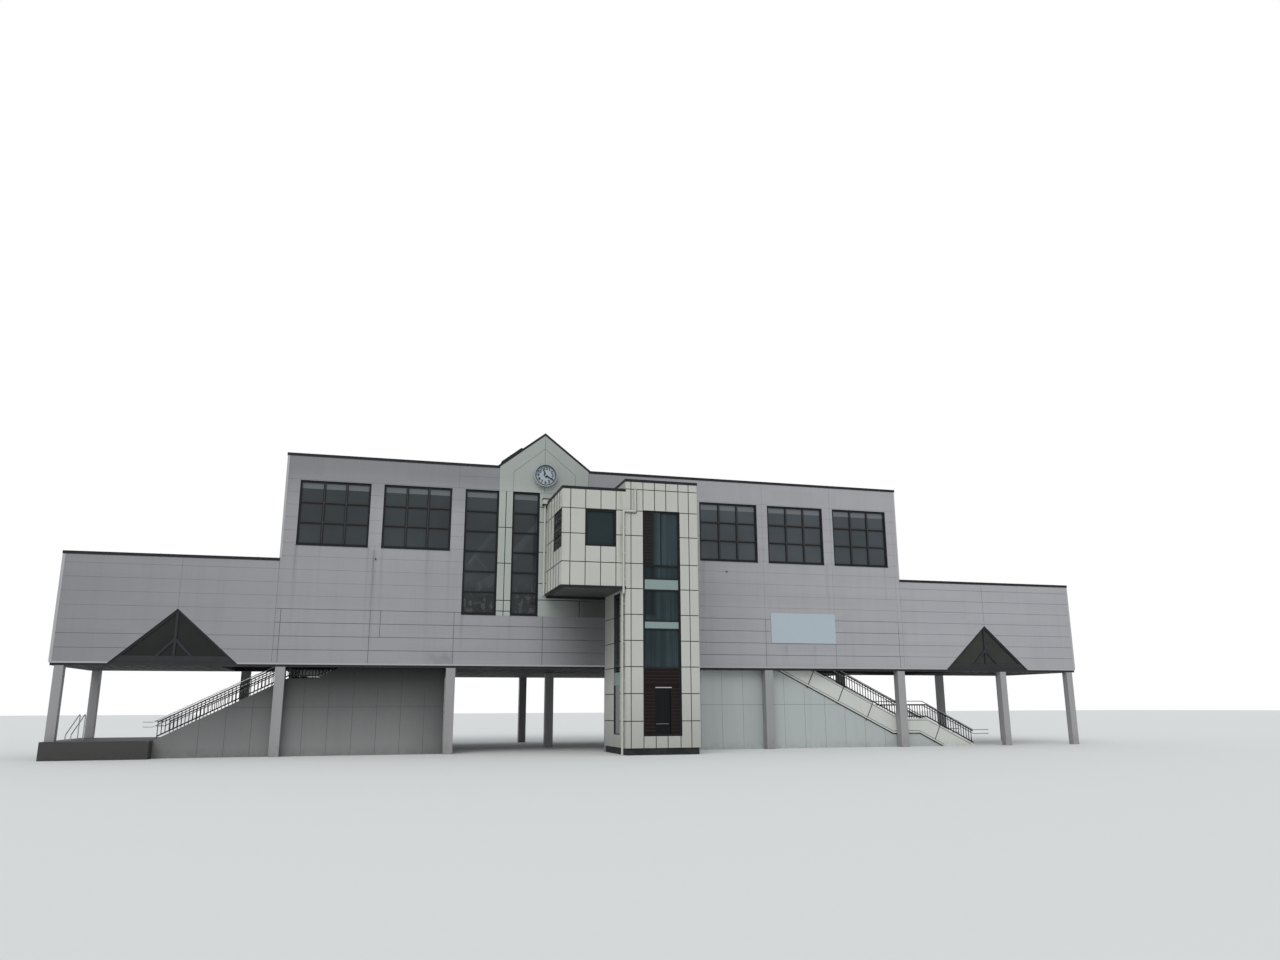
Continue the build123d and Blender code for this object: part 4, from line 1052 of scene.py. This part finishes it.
# Two thin dark lines follow the band's top and low edges, a white lip runs along its foot, and a painted
# shadow of the band lies on the wall below it.
ribbon("right_string_top_line", band_top, -0.095, -0.07, skin_y - 0.004, STAIR_Y, SEALANT_AND_SHADOW)
ribbon("right_string_low_line", band_low, 0.085, 0.11, skin_y - 0.004, STAIR_Y, SEALANT_AND_SHADOW)
ribbon("right_string_lip", band_low, 0.0, 0.075, skin_y - 0.035, STAIR_Y, STRING_WHITE)
ribbon("right_string_shadow_gap", painted_shadow_line, -0.055, -0.002, STAIR_Y + 0.02, STAIR_Y + 0.05, SEALANT_AND_SHADOW)
print("stair skins ready")

# %% [markdown]
# ## Things that repeat in a row
#
# Boards, seams, nosings and brackets are one shape set out at even steps. One Geometry Nodes tree
# makes all such rows: a line of points, a small block on each point, and a finish. The row is then
# turned into plain mesh, so the piece needs no modifier later.

# %% A tree that sets blocks in a row


def new_tree(name, **inputs):
    """A Geometry Nodes tree with named inputs, its input node, and the identifier of each input."""
    tree = bpy.data.node_groups.new(name, "GeometryNodeTree")
    found = {}
    for label, kind in inputs.items():
        socket = tree.interface.new_socket(name=label, in_out="INPUT", socket_type="NodeSocket" + kind)
        found[label] = socket.identifier
    tree.interface.new_socket(name="Geometry", in_out="OUTPUT", socket_type="NodeSocketGeometry")
    return tree, add_node(tree, "NodeGroupInput"), found


def end_tree(tree, given, last):
    """Turn the last node's instances into real ones, give them the finish and put them out."""
    realize = add_node(tree, "GeometryNodeRealizeInstances")
    painted = add_node(tree, "GeometryNodeSetMaterial")
    wire(tree, (last, 0, realize, 0), (realize, 0, painted, "Geometry"),
         (given, "Finish", painted, "Material"), (painted, 0, add_node(tree, "NodeGroupOutput"), 0))


ROW, row_in, ROW_INPUTS = new_tree("blocks_in_a_row", Count="Int", Start="Vector", Step="Vector",
                                   Size="Vector", Finish="Material")
row_line = add_node(ROW, "GeometryNodeMeshLine", mode="OFFSET")
row_block = add_node(ROW, "GeometryNodeMeshCube")
row_set = add_node(ROW, "GeometryNodeInstanceOnPoints")
wire(ROW, (row_in, "Count", row_line, "Count"), (row_in, "Start", row_line, "Start Location"),
     (row_in, "Step", row_line, "Offset"), (row_in, "Size", row_block, "Size"),
     (row_line, 0, row_set, "Points"), (row_block, 0, row_set, "Instance"))
end_tree(ROW, row_in, row_set)


def grow(name, slot, tree, inputs, path=None, **values):
    """Run a tree, on a path where one is given, and keep the result as a plain piece."""
    seed = put(name + "_seed", path or bpy.data.meshes.new(name + "_seed"))
    modifier = seed.modifiers.new("tree", "NODES")
    modifier.node_group = tree
    for label, value in values.items():
        modifier[inputs[label]] = value
    graph = bpy.context.evaluated_depsgraph_get()
    grown = bpy.data.meshes.new_from_object(seed.evaluated_get(graph), depsgraph=graph)
    bpy.data.objects.remove(seed)
    shape = bmesh.new()
    shape.from_mesh(grown)
    finished(name, shape, values["Finish"])


def row(name, number, start, step, size, finish, slot):
    """A row of blocks. start is the middle of the first one, all sizes in real metres."""
    grow(name, slot, ROW, ROW_INPUTS, Count=number, Start=at(*start), Step=Vector(step) * SCALE,
         Size=Vector(size) * SCALE, Finish=finish)


print("row tree:", len(ROW.nodes), "nodes")

# %% [markdown]
# ### All the rows
#
# Slats lie over the brown boards, seams over the roof sheets and nosings on the stairs' edges. Straps
# join the lengths of coping, battens the boards of the soffits, and rings hold the rainwater pipe.

# %% Boards, seams, nosings and straps
SLAT_STEP = 0.15
TREAD, RISER = 0.3, 0.15
for name, number, x, z, wide in (("high", 16, 24.99, 8.525, 0.38), ("low_left", 14, 25.04, 0.97, 0.48),
                                 ("low_right", 14, 26.2, 0.97, 0.42), ("low_top", 5, 25.6, 3.07, 1.6)):
    row(f"brown_{name}_slats", number, (x, OUT_Y + 0.047, z), (0, 0, SLAT_STEP), (wide, 0.02, 0.126),
        BROWN_BOARDS, "brown_boards")
    row(f"brown_{name}_lines", number - 1, (x, OUT_Y + 0.052, z + SLAT_STEP / 2), (0, 0, SLAT_STEP),
        (wide, 0.012, 0.024), SLAT_LINE, "brown_boards")
for name, number, x, y, z, length in (
        ("hall_roof_seams_left", 15, 9.6, 7.2, 13.13, 13.7),
        ("hall_roof_seams_right", 28, 23.4, 7.2, 13.13, 13.7),
        ("left_wing_roof_seams", 14, 0.6, 3.2, 8.19, 5.7),
        ("right_wing_roof_seams", 17, 40.5, 3.2, 8.19, 5.7)):
    row(name, number, (x, y, z), (0.6, 0, 0), (0.03, length, 0.06), ROOF, "roof_sheet")
for name, x, z, number, way in (
        ("left_lower", 4.5, 0.75, 17, 1), ("left_middle", 10.8, 3.3, 15, 1),
        ("left_upper", 16.5, 5.55, 13, 1), ("right_lower", 44.12, 0.0, 9, -1),
        ("right_middle", 39.85, 1.35, 22, -1), ("right_upper", 32.05, 4.65, 19, -1)):
    row(name + "_nosings", number, (x + way * 0.03, 2.0, z + 0.153), (way * TREAD, 0, RISER),
        (0.05, 2.6, 0.008), RAIL_METAL, "dark_railing")
for name, number, x, z, step in (("left_wing", 4, 1.8, 8.627, 2.0), ("right_wing", 5, 41.9, 8.627, 2.0),
                                 ("hall_left", 4, 10.7, 13.567, 2.2), ("hall_right", 8, 24.5, 13.567, 2.0)):
    row(name + "_coping_straps", number, (x, 0.15, z), (step, 0, 0), (0.04, 0.388, 0.134), COPING_METAL,
        "dark_coping")
for name, number, x, y, step, length in (
        ("left", 10, 0.6, 3.2, 0.61, 5.4), ("right", 11, 44.0, 3.2, 0.61, 5.4),
        ("passage", 21, 17.3, 6.9, 0.66, 13.0)):
    row(name + "_soffit_battens", number, (x, y, 3.842), (step, 0, 0), (0.02, length, 0.016), BEAM_PAINT,
        "soffit_boards")
for name, number, y, z, deep in (("low", 5, -3.72, 1.1, 0.13), ("high", 3, OUT_Y - 0.09, 7.7, 0.11)):
    row("pipe_rings_" + name, number, (23.77, y, z), (0, 0, 1.2), (0.13, deep, 0.04), PIPE_PAINT,
        "pipe_paint")
print("nosings:", count("nosings"), "straps:", count("straps"))

# %% [markdown]
# ## Tubes along a path
#
# Handrails are round tubes that follow the stairs and end in a short level piece. A second tree
# turns a line of points into a curve, rounds its corners and sweeps a circle along it.

# %% A tree that sweeps a tube
TUBE_SIDES = 10
BEND_STEPS = 4
BEND = 0.08
TUBE, tube_in, TUBE_INPUTS = new_tree("tube_on_a_path", Geometry="Geometry", Radius="Float", Bend="Float",
                                      Finish="Material")
tube_curve = add_node(TUBE, "GeometryNodeMeshToCurve")
tube_bend = add_node(TUBE, "GeometryNodeFilletCurve", mode="POLY")
tube_bend.inputs["Count"].default_value = BEND_STEPS
tube_circle = add_node(TUBE, "GeometryNodeCurvePrimitiveCircle")
tube_circle.inputs["Resolution"].default_value = TUBE_SIDES
tube_sweep = add_node(TUBE, "GeometryNodeCurveToMesh")
tube_sweep.inputs["Fill Caps"].default_value = True
wire(TUBE, (tube_in, "Geometry", tube_curve, "Mesh"), (tube_curve, 0, tube_bend, "Curve"),
     (tube_in, "Bend", tube_bend, "Radius"), (tube_in, "Radius", tube_circle, "Radius"),
     (tube_bend, 0, tube_sweep, "Curve"), (tube_circle, 0, tube_sweep, "Profile Curve"))
end_tree(TUBE, tube_in, tube_sweep)


def handrail(name, points, radius):
    """A round steel tube through the given points, in real metres."""
    path = bpy.data.meshes.new(name + "_path")
    path.from_pydata([at(*point) for point in points], [(i, i + 1) for i in range(len(points) - 1)], [])
    grow(name + "_handrail", "dark_railing", TUBE, TUBE_INPUTS, path, Radius=radius * SCALE,
         Bend=BEND * SCALE, Finish=STEEL)


LEFT_LINE = [(4.1, 0.55), (9.6, 3.3), (10.8, 3.3), (15.3, 5.55), (16.5, 5.55), (20.4, 7.5)]
RIGHT_LINE = [(44.42, -0.15), *RIGHT_STAIR[1:-1], (26.35, 7.5)]
for side, line, level_x in (("left", LEFT_LINE, 3.7), ("right", RIGHT_LINE, 45.35)):
    for level, height in (("high", 0.96), ("low", 0.76)):
        for lane, y in (("front", 0.66), ("rear", 3.34)):
            points = [(level_x, y, line[0][1] + height)] + [(x, y, z + height) for x, z in line]
            handrail(f"{side}_{lane}_{level}", points, 0.024)
for side, x in (("left", 0.81), ("right", 1.02)):
    points = [(x, 0.6, 0.75), (x, 0.6, 1.0), (x + 0.02, 2.4, 1.87), (x + 0.02, 2.4, 0.75)]
    handrail(f"ramp_{side}", points, 0.022)
print("handrails:", count("handrail"))

# %% [markdown]
# ## The clock's face
#
# The dial carries twelve numerals and a ring of minute marks. The marks are one small bar set
# around a circle by a third tree. The numerals are text turned into thin mesh, so they stay sharp.

# %% Marks and numerals
CLOCK_X, CLOCK_Z = 20.76, 13.22
DIAL_Y = -0.22
INK = 0.004
NUMERAL_R = 0.355
NUMERAL_SIZE = 0.2
HOOP_STEPS = 64
RING, ring_in, RING_INPUTS = new_tree("marks_in_a_ring", Count="Int", Radius="Float", Size="Vector",
                                      Centre="Vector", Finish="Material")
ring_line = add_node(RING, "GeometryNodeMeshCircle")
ring_mark = add_node(RING, "GeometryNodeMeshCube")
ring_place = add_node(RING, "GeometryNodeInputPosition")
ring_turn = add_node(RING, "FunctionNodeAlignRotationToVector", axis="X")
ring_set = add_node(RING, "GeometryNodeInstanceOnPoints")
ring_move = add_node(RING, "GeometryNodeTransform")
ring_move.inputs["Rotation"].default_value = (math.pi / 2, 0, 0)
wire(RING, (ring_in, "Count", ring_line, "Vertices"), (ring_in, "Radius", ring_line, "Radius"),
     (ring_in, "Size", ring_mark, "Size"), (ring_place, 0, ring_turn, "Vector"),
     (ring_line, 0, ring_set, "Points"), (ring_mark, 0, ring_set, "Instance"),
     (ring_turn, 0, ring_set, "Rotation"), (ring_set, 0, ring_move, "Geometry"),
     (ring_in, "Centre", ring_move, "Translation"))
end_tree(RING, ring_in, ring_move)


def ring(name, number, radius, size):
    grow(name, "clock_face", RING, RING_INPUTS, Count=number, Radius=radius * SCALE,
         Size=Vector(size) * SCALE, Centre=at(CLOCK_X, DIAL_Y - INK / 2, CLOCK_Z), Finish=CLOCK_INK)


def hoop(name, inner, outer, y0, y1, finish):
    """A flat ring around the clock, between two radii and two depths."""
    shape = bmesh.new()
    turns = [2 * math.pi * i / HOOP_STEPS for i in range(HOOP_STEPS)]
    rims = [[shape.verts.new(at(CLOCK_X + radius * math.cos(t), y, CLOCK_Z + radius * math.sin(t)))
             for t in turns] for radius, y in ((inner, y0), (outer, y0), (outer, y1), (inner, y1))]
    band(shape, rims + rims[:1])
    finished(name, shape, finish)


ring("minute_marks", 60, 0.452, (0.02, 0.006, INK))
ring("hour_marks", 12, 0.447, (0.03, 0.016, INK))
hoop("clock_bezel", 0.485, 0.517, -0.31, -0.205, BEZEL)
numerals = bmesh.new()
for hour in range(1, 13):
    angle = math.radians(hour * 30)
    text = bpy.data.curves.new(f"numeral_{hour}", "FONT")
    text.body = str(hour)
    text.size = NUMERAL_SIZE * SCALE
    text.offset = 0.004
    text.align_x = text.align_y = "CENTER"
    text.extrude = INK * SCALE / 2
    text.resolution_u = 2
    carrier = put(f"numeral_{hour}", text)
    graph = bpy.context.evaluated_depsgraph_get()
    figure = bpy.data.meshes.new_from_object(carrier.evaluated_get(graph), depsgraph=graph)
    bpy.data.objects.remove(carrier)
    spot = at(CLOCK_X + NUMERAL_R * math.sin(angle), DIAL_Y - INK / 2, CLOCK_Z + NUMERAL_R * math.cos(angle))
    figure.transform(Matrix.Translation(spot) @ Matrix.Rotation(math.pi / 2, 4, "X"))
    numerals.from_mesh(figure)
bmesh.ops.remove_doubles(numerals, verts=numerals.verts[:], dist=1e-6)
finished("numerals", numerals, CLOCK_INK)
print("clock face ready")

# %% [markdown]
# ## Sills, caps and trims
#
# Small folded metal pieces close the cladding at its edges and cap the windows' bars. They catch
# light differently from the boards, so the corners read clearly. Each is a plain block, nearly
# always with a fine bevel.

# %% Small blocks
FRAME = 0.09
FRAME_FRONT = 0.06
BEVEL = 0.004


def blocks(name, corners, finish, bevel=BEVEL):
    """Several blocks in one piece, each given by its low and high corner in real metres."""
    shape = bmesh.new()
    for low, high in corners:
        a, b = at(*low), at(*high)
        made = bmesh.ops.create_cube(shape, size=1)["verts"]
        bmesh.ops.scale(shape, vec=[abs(v) for v in b - a], verts=made)
        bmesh.ops.translate(shape, vec=(a + b) / 2, verts=made)
    if bevel:
        bmesh.ops.bevel(shape, geom=shape.edges[:], offset=bevel * SCALE, segments=1, affect="EDGES")
    finished(name, shape, finish)


def thirds(low, high):
    """The two places that part a window's opening, inside its frame, in three."""
    return [low + FRAME + (high - low - 2 * FRAME) * i / 3 for i in (1, 2)]


windows = LEFT_WINDOWS + RIGHT_WINDOWS
for name, spots, z in (("window_sills", windows, PANE_LOW), ("tall_window_sills", TALL, TALL_LOW)):
    blocks(name, [((a, -0.05, z - 0.04), (b, 0.05, z)) for a, b in spots], FRAME_METAL)
mullions = [x for a, b in windows for x in thirds(a, b)]
blocks("mullion_wings", [((x - 0.052, FRAME_FRONT + 0.01, PANE_LOW + 0.05),
                          (x + 0.052, 0.11, PANE_HIGH - 0.05)) for x in mullions], FRAME_METAL)
blocks("mullion_caps", [((x - 0.022, FRAME_FRONT - 0.015, PANE_LOW + FRAME),
                         (x + 0.022, FRAME_FRONT + 0.02, PANE_HIGH - FRAME)) for x in mullions],
       MULLION_METAL)
blocks("transom_caps", [((a + FRAME, FRAME_FRONT - 0.01, z + 0.012),
                         (b - FRAME, FRAME_FRONT + 0.02, z + 0.042))
                        for a, b in windows for z in thirds(PANE_LOW, PANE_HIGH)], BRONZE_LINE)

drip_low, drip_high = BAY_LOW - 0.03, BAY_LOW + 0.09
blocks("bay_drip_edge", [((BAY_X0 - 0.05, OUT_Y - 0.05, drip_low), (TOWER_X0, OUT_Y + 0.02, drip_high)),
                         ((BAY_X0 - 0.05, OUT_Y + 0.02, drip_low), (BAY_X0 + 0.02, 0, drip_high))],
       COPING_METAL)
blocks("bay_wall_line", [((BAY_X0, -0.05, BAY_LOW - 0.12), (TOWER_X0, 0, BAY_LOW))], COPING_METAL)
ribs = [(y, *span) for y in SIDE_BARS for span in ((drip_high, SIDE_LOW), (SIDE_HIGH, BAY_EAVES))]
ribs += [(y, drip_high, BAY_EAVES) for y in (-1.92, -1.2, -0.5)]
blocks("bay_side_ribs", [((BAY_X0 - 0.03, y - 0.014, low), (BAY_X0, y + 0.014, high))
                         for y, low, high in ribs], SIDE_JOINT)
bars = [SIDE_LOW + (SIDE_HIGH - SIDE_LOW) * i / 4 for i in (1, 2, 3)]
blocks("bay_side_window_bars", [((BAY_X0 - 0.01, -3.72, z - 0.012), (BAY_X0 + 0.03, -1.98, z + 0.012))
                                for z in bars], SIDE_JOINT)

for name, x0, x1, near, far, z0, z1, finish, slot, bevel in (
        ("tower_side_light", 25.19, 25.56, 0.045, 0.06, 8.42, 10.87, TOWER_GLASS, "window_glass", 0),
        ("tower_side_light_post", 25.175, 25.2, 0.035, 0.06, 8.42, 10.87, FRAME_METAL, "dark_frames", 0),
        ("tower_door_header", 25.28, 26.05, 0.035, 0.06, 2.885, 2.93, TRIM_PAINT, "dark_frames", BEVEL),
        ("tower_door_rail", 25.32, 25.9, 0.07, 0.1, 1.315, 1.345, SIDE_JOINT, "dark_frames", BEVEL)):
    blocks(name, [((x0, OUT_Y + near, z0), (x1, OUT_Y + far, z1))], finish, bevel)
# Painted shadows: thin dark strips on the wall beside the rain pipe and under its elbow.
blocks("pipe_clip_rails", [((x0, OUT_Y - 0.04, z0), (x1, OUT_Y, z1)) for x0, x1, z0, z1 in (
    (23.835, 23.86, 7.3, 10.8), (23.835, 24.4, 10.77, 10.8), (24.395, 24.42, 10.8, 11.9))],
       SEALANT_AND_SHADOW)
blocks("hopper_rims", [((x0, -0.30, z0), (x1, 0, z1)) for x0, x1, z0, z1 in (
    (20.64, 20.89, 12.0, 12.05), (20.89, 21.12, 12.0, 12.05), (20.64, 20.89, 11.73, 11.77))],
       COPING_METAL)
blocks("corner_trims", [((x0, -0.03, z0), (x1, 0.0, z1)) for x0, x1, z0, z1 in (
    (-0.03, 0.09, SOFFIT, WING_EAVES), (LENGTH - 0.09, LENGTH + 0.03, SOFFIT, WING_EAVES),
    (8.71, 8.8, WING_EAVES + 0.13, EAVES), (40.07, 40.16, WING_EAVES + 0.13, EAVES))],
       TRIM_PAINT)
blocks("foot_flashing", [((a, -0.035, SOFFIT - 0.05), (b, 0.02, SOFFIT + 0.02)) for a, b in (
    (0, 2.2), (7.31, 23.88), (27.37, 42.67), (47.69, LENGTH))], TRIM_PAINT)
blocks("scuppers", [((x, -0.1, 8.76), (x + 0.06, 0.0, 8.81)) for x in (12.87, 30.22)], BRONZE_LINE)
